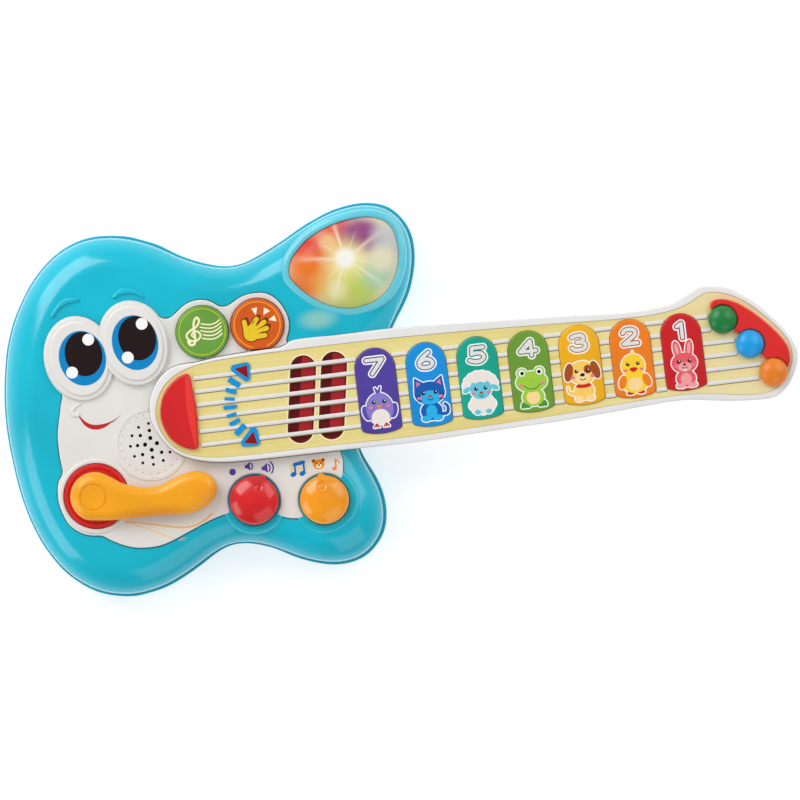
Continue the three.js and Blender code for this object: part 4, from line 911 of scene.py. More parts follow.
# Grey discs on the ring round the grille: painted shade standing for small dimples.
s = Solid()
for i in range(24):
    a = math.radians(i * 15 + 7.5)
    c = (SPEAKER[0] + 17.2 * math.cos(a), SPEAKER[1] + 17.2 * math.sin(a))
    if neck_f(np.array([c[0]]), np.array([c[1]]))[0] > 1.4:
        s.turned(c, [(0, 39.2), (0.5, 39.2), (0.5, 39.43), (0, 39.43)], 14)
piece("speaker_dimples", s, ink("dimple_painted_shade", (196, 190, 186)))
s = Solid()
s.turned(LEVER_SEAT, [(18.95, 37), (21.7, 37), (21.7, 39.6), (21.5, 40.1), (21.0, 40.5), (20.4, 40.6), (19.6, 40.55), (19.1, 40.3), (18.95, 39.8), (18.95, 37)], 160)
piece("lever_boss", s, M["panel"])
for name, e, z1, z2 in (("left", LEFT_EYE, 41.6, 42.9), ("right", RIGHT_EYE, 42.8, 44.1)):
    s = Solid()
    rows = [(-0.9, 38.6), (-0.9, 39.38), (-0.45, 39.5), (-0.1, 39.9), (0, 40.4), (0, z1 - 0.6), (0.12, z1 - 0.25), (0.4, z1 - 0.05), (0.8, z1), (2.0, z1 + 0.02), (2.4, z1 + 0.12), (2.62, z1 + 0.4), (2.7, z2 - 0.5), (2.85, z2 - 0.18), (3.2, z2 - 0.02), (3.7, z2)]
    s.loft([(ellipse_pts(e, d), z) for d, z in rows])
    piece(f"eye_{name}", s, M["panel"])
for name, iris, pupil, hi, z in (
    ("left", (-179, 34.9, 13.45, 15.9), (-178.1, 37.2, 10.7, 12.9), ((-174.4, 45.1), (-185.9, 27.4)), 42.9),
    ("right", (-147.8, 40.1, 13.2, 15.9), (-146.3, 42.5, 10.8, 12.9), ((-142.7, 50.4), (-153.0, 32.1)), 44.1),
):
    box = (iris[0] - 17, iris[0] + 17, iris[1] - 20, iris[1] + 20)
    s = Solid()
    s.shape(oval(*iris, 8), box, z - 0.2, z + 0.04, 0, m=0)
    s.shape(oval(*pupil, 8), box, z - 0.2, z + 0.08, 0, m=1)
    for c in hi:
        s.shape(circle(*c, 3.4), box, z - 0.2, z + 0.12, 0, m=2)
    piece(f"eye_print_{name}", s, [M["iris"], M["pupil"], M["white"]])
s = Solid()
s.shape(stroke([(-183.2, 8.9), (-186.9, 7.6), (-188.9, 5.2), (-188.2, 3.2), (-186.0, 3.2)], 1.2, 3.0, True), (-196, -180, -3, 13), 39.1, 40.3, 0.75, 5, h=0.12)
piece("cheek", s, M["panel"])

# ---- printed marks on the panel -----------------------------------------------------------------
on_panel = PANEL + 0.04
s = Solid()
gold = stroke([(-170.5, -60.5), (-160, -62.6), (-150, -65), (-142, -67), (-135, -68.5), (-130, -68.9), (-125, -68), (-120, -65.8), (-116, -63)], 0.7, 1.4, True)
gold2 = stroke([(-165, -62), (-157, -65.6), (-150, -69), (-145, -71.8), (-140, -74), (-135, -75.4), (-130, -75.5), (-126, -75), (-122, -74)], 0.5, 1.2, True)
inside = grow(face_f, -0.9)
s.shape(both(union(grow(gold, 0.75), grow(gold2, 0.6)), inside), (-175, -110, -80, -55), PANEL - 0.2, on_panel, 0, m=1)
s.shape(both(gold, inside), (-175, -110, -80, -55), PANEL - 0.2, on_panel + 0.02, 0)
s.shape(both(gold2, inside), (-175, -110, -80, -55), PANEL - 0.2, on_panel + 0.02, 0, m=2)
s.shape(both(less(grow(gold2, 0.3), grow(face_f, 1.2))), (-150, -110, -82, -60), -0.3, 0.06, 0, lift=shoulder_z)
piece("lever_lines", s, [ink("gold_line_print", (228, 190, 142)), ink("pale_gold_print", (238, 226, 208)), ink("soft_gold_print", (232, 204, 164))])


def speaker_icon(cx, cy, w, arcs):
    k = w / 5.3
    f = union(poly(np.array([(-1.9, 0.8), (-1.0, 0.8), (0.6, 2.1), (0.6, -2.1), (-1.0, -0.8), (-1.9, -0.8)]) * k + (cx - 0.6 * k, cy)))
    parts = [grow(f, 0.12)]
    for i in range(arcs):
        r = (2.3 + 1.5 * i) * k
        a = np.radians(np.linspace(-44, 44, 9))
        parts.append(stroke(np.stack([cx - 1.0 * k + r * np.cos(a), cy + r * np.sin(a)], 1), 0.85))
    return union(*parts)


def note(cx, cy, k, double=False):
    stems = [(-1.6, 1.6), (1.6, 2.2)] if double else [(0.4, 2.4)]
    parts = [stroke([(cx + x * k, cy - 1.8 * k), (cx + x * k, cy + top * k)], 0.7 * k) for x, top in stems]
    parts += [oval(cx + (x - 0.75) * k, cy - 1.9 * k, 1.15 * k, 0.85 * k, 20) for x, _ in stems]
    if double:
        parts.append(stroke([(cx - 1.6 * k, cy + 1.5 * k), (cx + 1.6 * k, cy + 2.0 * k)], 1.3 * k))
    else:
        parts.append(stroke([(cx + 0.5 * k, cy + 2.2 * k), (cx + 1.9 * k, cy + 1.3 * k), (cx + 2.3 * k, cy + 0.2 * k)], 0.9 * k, 0.3 * k))
    return union(*parts)


icon_box = (-106, -36, -50, -34)
s = Solid()
s.shape(union(circle(-101.3, -40.5, 1.95), speaker_icon(-91.0, -38.4, 6.0, 1), speaker_icon(-81.2, -40.5, 6.6, 2)), icon_box, PANEL - 0.2, on_panel, 0, m=0, h=0.12)
waves = [stroke([(-68.2, -43.3 + dy), (-66, -42.7 + dy), (-63.5, -43.4 + dy), (-61, -44 + dy), (-58.6, -43.4 + dy)], 0.62, 0.62, True) for dy in (-2.6, -1.0, 0.6, 2.2)]
notes = note(-62.8, -43.0, 1.62, True)
s.shape(less(union(*waves), grow(notes, 0.3)), icon_box, PANEL - 0.2, on_panel, 0, m=1, h=0.12)
s.shape(notes, icon_box, PANEL - 0.2, on_panel + 0.02, 0, m=2, h=0.12)
s.shape(note(-42.3, -43.2, 1.2), icon_box, PANEL - 0.2, on_panel, 0, m=3, h=0.12)
head = union(oval(-51.5, -42.0, 3.3, 2.9), circle(-54.2, -39.9, 1.25), circle(-48.8, -39.9, 1.25))
s.shape(head, icon_box, PANEL - 0.2, on_panel, 0, m=3, h=0.12)
s.shape(union(circle(-54.2, -39.9, 0.75), circle(-48.8, -39.9, 0.75)), icon_box, PANEL - 0.2, on_panel + 0.02, 0, m=6, h=0.1)
s.shape(oval(-51.5, -43.0, 1.7, 1.25), icon_box, PANEL - 0.2, on_panel + 0.02, 0, m=4, h=0.1)
s.shape(union(circle(-52.7, -41.3, 0.42), circle(-50.3, -41.3, 0.42), oval(-51.5, -42.5, 0.62, 0.45)), icon_box, PANEL - 0.2, on_panel + 0.04, 0, m=5, h=0.08)
piece("panel_icons", s, [M["purple_ink"], M["yellow_ink"], M["blue_ink"], M["orange_ink"], M["cream"], M["black"], M["brown_ink"]])

# ---- neck and head ------------------------------------------------------------------------------
def key_x(n):
    return KEY_X7 + (7 - n) * KEY_PITCH


def blend7(a, b, n):
    return a + (b - a) * (7 - n) / 6


def key_line(n):
    x, r = key_x(n), KEY_W / 2
    top, low, corner = blend7(20.6, 19.1, n), blend7(-28.7, -25.2, n), blend7(-26.35, -22.9, n)
    xs = np.linspace(-r + 0.9, r - 0.9, 15)
    bow = [(x + v, low + (corner - 0.35 - low) * (abs(v) / (r - 0.9)) ** 2.2) for v in xs]
    p = np.vstack([arc([x, top - r], r, 0, 180, 40)]).reshape(-1, 2)
    return soften(resample(np.vstack([p, [[x - r, corner + 0.9], [x - r + 0.25, corner + 0.1]], bow, [[x + r - 0.25, corner + 0.1], [x + r, corner + 0.9]]]), 170), 2)


def slot_line(dx):
    h = 7.4
    return soften(resample(pts(arc([-53.6 + dx, 13.9], h, -9, 171, 24) + arc([-59.4 + dx, -21.3], h, 171, 351, 24)), 150), 1)


keys, slots = {k: key_line(k) for k in range(7, 0, -1)}, [slot_line(0), slot_line(17.9)]
board_hole = inset(board, -0.12)
s = Solid()
under = s.loft([(inset(neck, 2.4), 42.6), (inset(neck, 2.4), 38.35), (neck, 38.35), (neck, 45.1), (inset(neck, 0.1), 45.75), (inset(neck, 0.4), 46.25), (inset(neck, 0.8), 46.52), (inset(neck, 1.3), 46.6)], caps=(False, False))
lip, floor = s.ring(inset(board_hole, -0.2), 46.6), s.ring(board_hole, 45.0)
mid = s.ring(board_hole, 46.4)
s.cap([under[-1], lip], True)
s.wall(lip, mid)
s.wall(mid, floor)
openings = [inset(keys[k], -GAP) for k in keys] + slots + [ring_pts(t, 3.1, 32) for t in TUNERS]
lows, highs = [s.ring(p, 42.6) for p in openings], [s.ring(p, 45.0) for p in openings]
for a, b in zip(lows, highs):
    s.wall(b, a)
s.cap([floor] + highs, True)
s.cap([under[0]] + lows, False)
piece("neck_front_skin", s, M["neck"], replaces=("neck_front_shell",))
lower = clip_right(neck, -39.6)
s = Solid()
s.loft([(inset(lower, 2.4), 39), (inset(lower, 2.4), 30.3), (lower, 30.3), (lower, 39)], caps=(False, False))
ids = [s.ring(inset(lower, 2.4), 39), s.ring(lower, 39)]
s.wall(ids[1], ids[0])
piece("neck_front_lower", s, M["neck"])
s = Solid()
rl = clip_right(neck, -39.6)
s.loft([(inset(rl, 4.2), 17), (inset(rl, 2.9), 17.35), (inset(rl, 1.7), 18.2), (inset(rl, 0.8), 19.5), (inset(rl, 0.25), 21.2), (rl, 23), (rl, 29.6), (inset(rl, 0.3), 30), (inset(rl, 2.4), 30), (inset(rl, 2.4), 24), (inset(rl, 5), 19.4)])
head_well = Solid()
head_well.loft([(ring_pts((196, -25), 4.1, 40), 16.7), (ring_pts((196, -25), 3.3, 40), 17.6), (ring_pts((196, -25), 3.3, 40), 20.4)])
piece("neck_rear_skin", s, M["neck"], replaces=("neck_rear_shell",), cutters=(head_well,))
s = Solid()
s.turned((196, -25), [(1.7, 23.8), (3.3, 23.8), (3.3, 19.0), (4.6, 19.0), (4.6, 27), (1.7, 27), (1.7, 23.8)], 40)
s.turned((-31, -2), [(1.6, 19.0), (4.2, 19.0), (4.2, 27), (1.6, 27), (1.6, 19.0)], 40)
piece("neck_rear_posts", s, M["neck"])

# ---- fretboard ----------------------------------------------------------------------------------
s = Solid()
s.plate(board, [inset(keys[k], -0.16) for k in keys] + slots + [ring_pts(t, 3.5, 32) for t in TUNERS], 45.3, BOARD, 0.15, 2)
piece("fretboard_skin", s, M["wood"], replaces=("fretboard_panel",))
s = Solid()
for i, y in enumerate(STRINGS):
    t = TUNERS[i // 2]
    end = t[0] - math.sqrt(max(0, 8.2**2 - (y - t[1]) ** 2)) - 0.7
    xs = np.arange(-116.8, end, 0.05)
    open_ = np.ones(len(xs), bool)
    for k in keys:
        for yy in (y - 0.8, y + 0.7):
            open_ &= poly(keys[k])(xs, np.full(len(xs), yy)) > 0.25
    edges = np.flatnonzero(np.diff(np.concatenate([[0], open_.astype(int), [0]])))
    profile = [(-1.65, 46.0), (-1.65, 46.24), (-1.12, 46.5), (-0.95, 46.78), (-0.45, 46.97), (0.3, 47.0), (0.85, 46.85), (1.1, 46.5), (1.1, 46.0)]
    for a, b in zip(edges[::2], edges[1::2]):
        x0, x1 = xs[a], xs[b - 1]
        if x1 - x0 < 0.6:
            continue
        k0 = len(s.v)
        for x in (x0, x1):
            s.v.extend((x, y + dy, z) for dy, z in profile)
        n = len(profile)
        for j in range(n):
            m = (j + 1) % n
            s.f.append((k0 + j, k0 + m, k0 + n + m, k0 + n + j))
            # The two lowest faces on the string's lower side take the brownish painted shadow.
            s.m.append(1 if j in (0, 1) else 0)
        s.f.append(tuple(k0 + j for j in range(n))[::-1])
        s.f.append(tuple(k0 + n + j for j in range(n)))
        s.m += [0, 0]
s.f = [t[::-1] for t in s.f]
piece("strings", s, [M["string"], M["string_painted_shadow"]], angle=40)
s = Solid()
for q in slots:
    s.shape(less(grow(poly(q), 0.75), grow(poly(q), 0.1)), (q[:, 0].min() - 3, q[:, 0].max() + 3, -33, 26), 46.0, BOARD + 0.03, 0, h=0.2)
piece("slot_borders", s, M["cream"])
for k, q in enumerate(slots):
    s = Solid()
    s.loft([(inset(q, -1.2), 40.6), (inset(q, -1.2), 42.2), (inset(q, GAP), 42.2), (inset(q, GAP), 44.3), (inset(q, 0.5), 44.55), (inset(q, 0.8), 44.6)])
    piece(f"strum_window_{k + 1}_skin", s, M["window"], replaces=(f"strum_window_{k + 1}",))
    # Painted shadow inside each recessed strum window: the left third, the bottom and a thin line along the right edge
    # are dark maroon.
    f, dx = poly(inset(q, 0.8)), 17.9 * k
    left = lambda X, Y, dx=dx: (X - (-56.6 + dx)) - (Y + 3.7) * (5.8 / 35.2) + 1.0
    right = lambda X, Y, dx=dx: -((X - (-49.9 + dx)) - (Y + 3.7) * (5.8 / 35.2) + 0.2)
    bottom = lambda X, Y: Y + 23.4
    s = Solid()
    s.shape(both(f, union(left, bottom, right)), (q[:, 0].min() - 2, q[:, 0].max() + 2, -32, 25), 44.4, 44.65, 0, h=0.15)
    piece(f"strum_shade_{k + 1}", s, M["maroon"])
bridge = spline(BRIDGE_LINE, 220, 1)
s = Solid()
s.loft([(bridge, 46.3), (bridge, 47.7), (inset(bridge, 0.12), 48.2), (inset(bridge, 0.35), 48.6), (inset(bridge, 0.7), 48.88), (inset(bridge, 1.2), 49)])
piece("bridge_cap_skin", s, M["red"], replaces=("bridge_cap",))
# A lighter red strip over the right part of the bridge top: a painted highlight standing for the lit bevel face on
# that side.
line = stroke([(-120.8, 21), (-122.6, -1.7), (-119.5, -28)], 0.01, 0.01, True)
lx = curve(np.array([(-120.8, 21), (-122.4, 8), (-122.6, -1.7), (-121.9, -13), (-119.5, -28)]), False, 8)
s = Solid()
s.shape(both(grow(poly(bridge), -1.05), lambda X, Y: np.interp(Y, lx[::-1, 1], lx[::-1, 0]) - X), (-126, -114, -27, 21), 48.8, 49.04, 0.0, h=0.12)
piece("bridge_bevel_painted_highlight", s, M["red_painted_highlight"])

# ---- the slide arrows ---------------------------------------------------------------------------
s = Solid()
box = (-106, -78, -32, 26)
outer = [grow(poly([(-92.6, 18.4), (-86.0, 19.0), (-86.6, 12.6)]), 2.3), grow(poly([(-86.2, -18.4), (-85.5, -24.8), (-92.0, -24.6)]), 2.3)]
ticks = []
for cx, cy, l, w, a in ((-93.8, 10.5, 7.7, 3.4, -40), (-96.3, 5.9, 6.6, 2.5, -23), (-97.6, 1.4, 6, 2, -10), (-97.9, -3.2, 7.8, 2.3, 0), (-97.6, -7.8, 6, 2, 10), (-96.3, -12.1, 6.6, 2.5, 23), (-93.6, -16.8, 7.7, 3.4, 40)):
    u, r = np.array([math.cos(math.radians(a)), math.sin(math.radians(a))]), 0.7
    v = np.array([-u[1], u[0]])
    c, hl, hw = np.array([cx, cy]), l / 2 - r, w / 2 - r
    ticks.append(grow(poly([c + u * hl + v * hw, c - u * hl + v * hw, c - u * hl - v * hw, c + u * hl - v * hw]), r))
s.shape(union(*outer, *ticks), box, 46.0, 47.1, 0.1, 2, m=0)
for p in ([(-92.6, 18.2), (-85.4, 19.3), (-85.9, 12.2)], [(-86.4, -18.9), (-85.0, -25.9), (-92.2, -24.6)]):
    s.shape(grow(poly(p), 0.15), box, 46.8, 47.14, 0, m=1)
piece("slide_arrows", s, [M["art_blue"], M["dark_red"]])

# ---- keys ---------------------------------------------------------------------------------------
DIGITS = {
    7: ([[(-4.7, 4.0), (4.6, 4.0), (-1.9, -3.9)]], False),
    6: ([[(1.9, 4.6), (-0.6, 2.9), (-2.8, 0.9), (-4.0, -1.2), (-3.2, -3.1), (-0.6, -3.9), (2.2, -3.5), (3.8, -1.7), (2.6, 0.2), (-0.2, 0.9), (-2.6, 0.0), (-3.9, -1.4)]], True),
    5: ([[(4.0, 4.0), (-2.4, 4.0)], [(-2.4, 4.0), (-2.9, 0.6)], [(-2.9, 0.6), (0.3, 1.0), (3.2, 0.2), (4.0, -1.8), (2.2, -3.6), (-1.2, -3.9), (-4.4, -2.9)]], True),
    4: ([[(1.6, 4.2), (-4.4, -1.4), (4.6, -1.4)], [(1.9, 4.2), (1.9, -4.0)]], False),
    3: ([[(-3.7, 3.3), (-1.0, 4.2), (2.2, 3.9), (3.1, 2.2), (1.6, 0.7), (-0.9, 0.4)], [(-0.9, 0.4), (2.2, 0.1), (3.8, -1.5), (2.8, -3.5), (0, -4.1), (-2.6, -3.8), (-4.1, -2.7)]], True),
    2: ([[(-3.7, 2.4), (-2.2, 3.9), (0.9, 4.2), (3.3, 3.0), (3.1, 1.0), (0.6, -1.1), (-3.8, -3.9)], [(-3.8, -3.9), (4.2, -3.9)]], True),
    1: ([[(-1.9, 2.6), (0.7, 4.2)], [(0.7, 4.2), (0.7, -4.0)]], False),
}
L = {n: ink(f"art_{n}", c) for n, c in {
    "lilac": (134, 124, 198), "lilac_dark": (92, 76, 172), "scarlet": (208, 34, 40), "rose": (232, 120, 160), "navy": (24, 92, 176), "sky": (40, 176, 232),
    "tangerine": (238, 130, 30), "aqua": (98, 198, 216), "wool": (236, 228, 220), "lime": (158, 204, 66), "leaf": (70, 150, 52), "honey": (248, 204, 96),
    "rust": (164, 78, 26), "peach": (252, 216, 150), "yellow": (252, 206, 50), "coral": (230, 92, 100), "blush": (240, 160, 160), "chalk": (250, 250, 250), "jet": (26, 16, 22)}.items()}


def eyes(dx, y, r=1.15):
    return [("jet", union(circle(-dx, y, r), circle(dx, y, r))), ("chalk", union(circle(-dx + 0.35, y + 0.4, 0.38), circle(dx + 0.35, y + 0.4, 0.38)))]


def cheeks(dx, y):
    return [("rose", union(oval(-dx, y, 1.35, 0.85), oval(dx, y, 1.35, 0.85)))]


def smile(y, w=1.5):
    return stroke([(-w, y), (-w / 2, y - 0.7), (0, y - 0.9), (w / 2, y - 0.7), (w, y)], 0.45, 0.45, True)


def bird():
    body_, wing = oval(0, -2.5, 8.3, 9.6), union(oval(-8.4, -4.5, 2.3, 4.6, 14), oval(8.4, -4.5, 2.3, 4.6, -14))
    tuft = union(stroke([(0, 6.6), (-1.6, 10.2)], 2.2, 0.9), stroke([(0, 6.6), (1.6, 10.6)], 2.2, 0.9))
    feet = union(*[stroke([(x, -11.6), (x + d, -13.6)], 0.9) for x in (-3, 3) for d in (-1.6, 0, 1.6)])
    return union(body_, wing, tuft, feet), [
        ("scarlet", feet), ("lilac_dark", wing), ("lilac_dark", tuft), ("lilac", body_), ("wool", both(oval(0, -8, 5.6, 5.2), body_)),
        *cheeks(5.4, -1.4), ("tangerine", poly([(-1.9, -0.4), (1.9, -0.4), (0, -3.2)])), *eyes(3.2, 1.6)]


def cat():
    head, ears = oval(0, 3, 9.4, 7.0), union(poly([(-9.0, 4), (-8.2, 12.6), (-2.4, 8.6)]), poly([(9.0, 4), (8.2, 12.6), (2.4, 8.6)]))
    ears, body_ = grow(ears, 0.3), oval(0, -8, 6.6, 5.8)
    tail = stroke([(5.5, -10.5), (9.4, -10), (10.0, -6.2), (8.6, -4.6)], 2.3, 1.8, True)
    feet = union(oval(-3.6, -12.4, 2.9, 1.9), oval(3.6, -12.4, 2.9, 1.9))
    return union(head, ears, body_, tail, feet), [
        ("navy", tail), ("navy", body_), ("sky", oval(0, -8.4, 3.4, 4.0)), ("navy", ears), ("rose", union(poly([(-7.6, 6.8), (-7.2, 10.8), (-4.4, 8.7)]), poly([(7.6, 6.8), (7.2, 10.8), (4.4, 8.7)]))),
        ("navy", head), ("sky", both(oval(0, 0.2, 6.2, 4.4), head)), ("sky", feet), *cheeks(6.6, 0.4), *eyes(3.7, 3.2), ("scarlet", oval(0, 1.0, 1.1, 0.75)), ("jet", smile(-0.4, 1.7)),
        ("jet", union(*[stroke([(sx * 5.2, yy), (sx * 8.6, yy + sl)], 0.3) for sx in (-1, 1) for yy, sl in ((1.6, 0.5), (-0.9, -0.5))]))]


def sheep():
    woolly = union(*[circle(8.0 * math.cos(a), 3.2 + 6.4 * math.sin(a), 3.0) for a in np.linspace(0.15, math.pi - 0.15, 8)])
    body_ = union(*[circle(5.4 * math.cos(a), -8.2 + 3.2 * math.sin(a), 3.0) for a in np.linspace(0, 2 * math.pi, 9)], oval(0, -8, 5, 3.4))
    face_, ears = oval(0, 1.4, 6.6, 6.2), union(oval(-8.6, 1.6, 2.7, 1.5, 28), oval(8.6, 1.6, 2.7, 1.5, -28))
    feet = union(oval(-3.4, -12.6, 1.9, 1.5), oval(3.4, -12.6, 1.9, 1.5))
    return union(woolly, body_, face_, ears, feet), [
        ("wool", body_), ("aqua", feet), ("wool", woolly), ("aqua", ears), ("aqua", face_), ("wool", union(circle(-2.6, 7.0, 1.9), circle(0, 7.8, 2.1), circle(2.6, 7.0, 1.9))),
        *cheeks(4.6, -1.0), *eyes(2.9, 1.8), ("rust", oval(0, -0.9, 1.1, 0.75)), ("jet", smile(-2.3, 1.2))]


def frog():
    head, bumps = oval(0, 1.8, 9.6, 6.4), union(circle(-5.4, 7.4, 3.1), circle(5.4, 7.4, 3.1))
    body_, feet = oval(0, -7.6, 6.8, 5.6), union(*[circle(x + d, -12.8, 1.25) for x in (-5.2, 5.2) for d in (-1.7, 0, 1.7)], oval(-5.2, -11.6, 2.6, 1.7), oval(5.2, -11.6, 2.6, 1.7))
    return union(head, bumps, body_, feet), [
        ("leaf", feet), ("lime", body_), ("peach", oval(0, -7.8, 4.2, 4.2)), ("lime", bumps), ("lime", head), ("chalk", union(circle(-5.4, 7.5, 2.0), circle(5.4, 7.5, 2.0))),
        ("jet", union(circle(-5.2, 7.4, 1.15), circle(5.2, 7.4, 1.15))), *cheeks(6.6, 0.2), ("leaf", stroke([(-4.8, -0.4), (-2.4, -2.2), (0, -2.7), (2.4, -2.2), (4.8, -0.4)], 0.7, 0.7, True)), ("leaf", union(circle(-0.9, 2.4, 0.3), circle(0.9, 2.4, 0.3)))]


def dog():
    head, ears = oval(0, 3.2, 8.2, 7.2), union(oval(-8.2, 4.2, 2.6, 5.6, -14), oval(8.2, 4.2, 2.6, 5.6, 14))
    body_, feet = oval(0, -8, 6.2, 5.4), union(oval(-3.4, -12.4, 2.7, 1.8), oval(3.4, -12.4, 2.7, 1.8))
    tail = stroke([(-5.5, -9.5), (-9.0, -8.0), (-9.6, -4.8)], 2.1, 1.3, True)
    return union(head, ears, body_, feet, tail), [
        ("honey", tail), ("honey", body_), ("scarlet", both(oval(0, -4.4, 5.2, 1.7), body_)), ("peach", feet), ("honey", head), ("peach", both(oval(0, 0.4, 4.6, 3.8), head)), ("rust", ears),
        ("rust", both(oval(3.6, 5.0, 2.5, 2.7), head)), *eyes(3.5, 4.4), ("jet", oval(0, 1.9, 1.45, 1.0)), ("jet", smile(-0.4, 1.6)), *cheeks(6.0, 0.8)]


def chick():
    head, body_ = circle(0, 3.4, 7.2), oval(0, -6.6, 8.4, 6.6)
    wing, tail = union(oval(-7.4, -6, 2.3, 4.2, -18), oval(7.4, -6, 2.3, 4.2, 18)), stroke([(0, 9.6), (0.6, 12.2)], 1.8, 0.8)
    feet = union(oval(-3.2, -13.0, 2.4, 1.1), oval(3.2, -13.0, 2.4, 1.1))
    return union(head, body_, wing, tail, feet), [
        ("scarlet", feet), ("yellow", tail), ("yellow", body_), ("peach", oval(0, -7.8, 4.6, 4.2)), ("tangerine", wing), ("yellow", head),
        *cheeks(5.0, 1.0), ("scarlet", union(oval(0, 1.4, 2.5, 1.1), oval(0, 0.6, 1.7, 0.9))), *eyes(3.1, 4.6)]


def rabbit():
    head = oval(0, 1.2, 7.8, 6.2)
    ears = union(oval(-3.7, 9.4, 2.3, 5.6, 8), oval(3.7, 9.4, 2.3, 5.6, -8))
    body_, feet = oval(0, -8.4, 6.0, 5.2), union(oval(-3.6, -12.6, 2.9, 1.6), oval(3.6, -12.6, 2.9, 1.6))
    return union(head, ears, body_, feet), [
        ("coral", body_), ("blush", oval(0, -8.6, 3.4, 3.6)), ("blush", feet), ("coral", ears), ("blush", union(oval(-3.7, 9.6, 1.1, 3.9, 8), oval(3.7, 9.6, 1.1, 3.9, -8))),
        ("coral", head), ("blush", both(oval(0, -1.4, 4.2, 2.9), head)), *cheeks(5.4, -0.4), *eyes(3.3, 2.2), ("jet", oval(0, 0.2, 0.95, 0.65)), ("chalk", poly([(-0.8, -2.0), (0.8, -2.0), (0.7, -3.5), (-0.7, -3.5)])), ("jet", smile(-1.4, 1.3))]


ANIMALS = {7: bird, 6: cat, 5: sheep, 4: frog, 3: dog, 2: chick, 1: rabbit}
for k in range(7, 0, -1):
    q, x = keys[k], key_x(k)
    s = Solid()
    s.loft([(inset(q, -1.2), 40.9), (inset(q, -1.2), 42.25), (q, 42.25), (q, 46.55), (inset(q, 0.1), 46.9), (inset(q, 0.32), 47.18), (inset(q, 0.65), 47.34), (inset(q, 1.1), 47.4)])
    s.turned((x, blend7(-4, -3, k)), [(0, 39.2), (3, 39.2), (3, 41), (0, 41)], 32)
    rgb = KEY_RGB[k]
    piece(f"key_{k}_cap", s, plastic(f"key_{k}_plastic", rgb, 0.3, 0.16, 0.04), f"key_{k}", (f"key_{k}",))
    lines, bend = DIGITS[k]
    cy = blend7(9.8, 9.2, k)
    digit = union(*[stroke([(x + a, cy + b) for a, b in t], 2.0, 2.0, bend and len(t) > 2) for t in lines])
    if k == 4:
        digit = union(digit, poly([(x + 1.6, cy + 4.2), (x - 4.4, cy - 1.4), (x + 1.9, cy - 1.4)]))
        digit = less(digit, grow(poly([(x + 0.9, cy + 1.2), (x - 1.4, cy - 0.5), (x + 0.9, cy - 0.5)]), 0.1))
    box = (x - 9, x + 9, cy - 9, cy + 9)
    s = Solid()
    s.shape(grow(digit, 1.45), box, KEY_TOP - 0.15, KEY_TOP + 0.03, 0, m=0, h=0.13)
    s.shape(grow(digit, 0.62), box, KEY_TOP - 0.15, KEY_TOP + 0.05, 0, m=1, h=0.13)
    s.shape(digit, box, KEY_TOP - 0.15, KEY_TOP + 0.07, 0, m=2, h=0.13)
    piece(f"key_{k}_digit", s, [M["white"], ink(f"digit_line_{k}", shade(rgb, 0.72)), M["string"]], f"key_{k}")
    outline, layers = ANIMALS[k]()
    sc = 0.94
    ay = blend7(-12.0, -10.4, k)
    box = (x - 12, x + 12, ay - 15, ay + 15)
    clip_key = grow(poly(q), -0.75)
    s, mats, top = Solid(), [M["white"]], KEY_TOP + 0.03
    s.shape(both(grow(moved(outline, x, ay, sc), 0.62), clip_key), box, KEY_TOP - 0.15, top, 0, m=0, h=0.14)
    for j, (colour, f) in enumerate(layers):
        if L[colour] not in mats:
            mats.append(L[colour])
        s.shape(both(moved(f, x, ay, sc), clip_key), box, KEY_TOP - 0.1, top + 0.012 * (j + 1), 0, m=mats.index(L[colour]), h=0.12)
    piece(f"key_{k}_animal", s, mats, f"key_{k}")

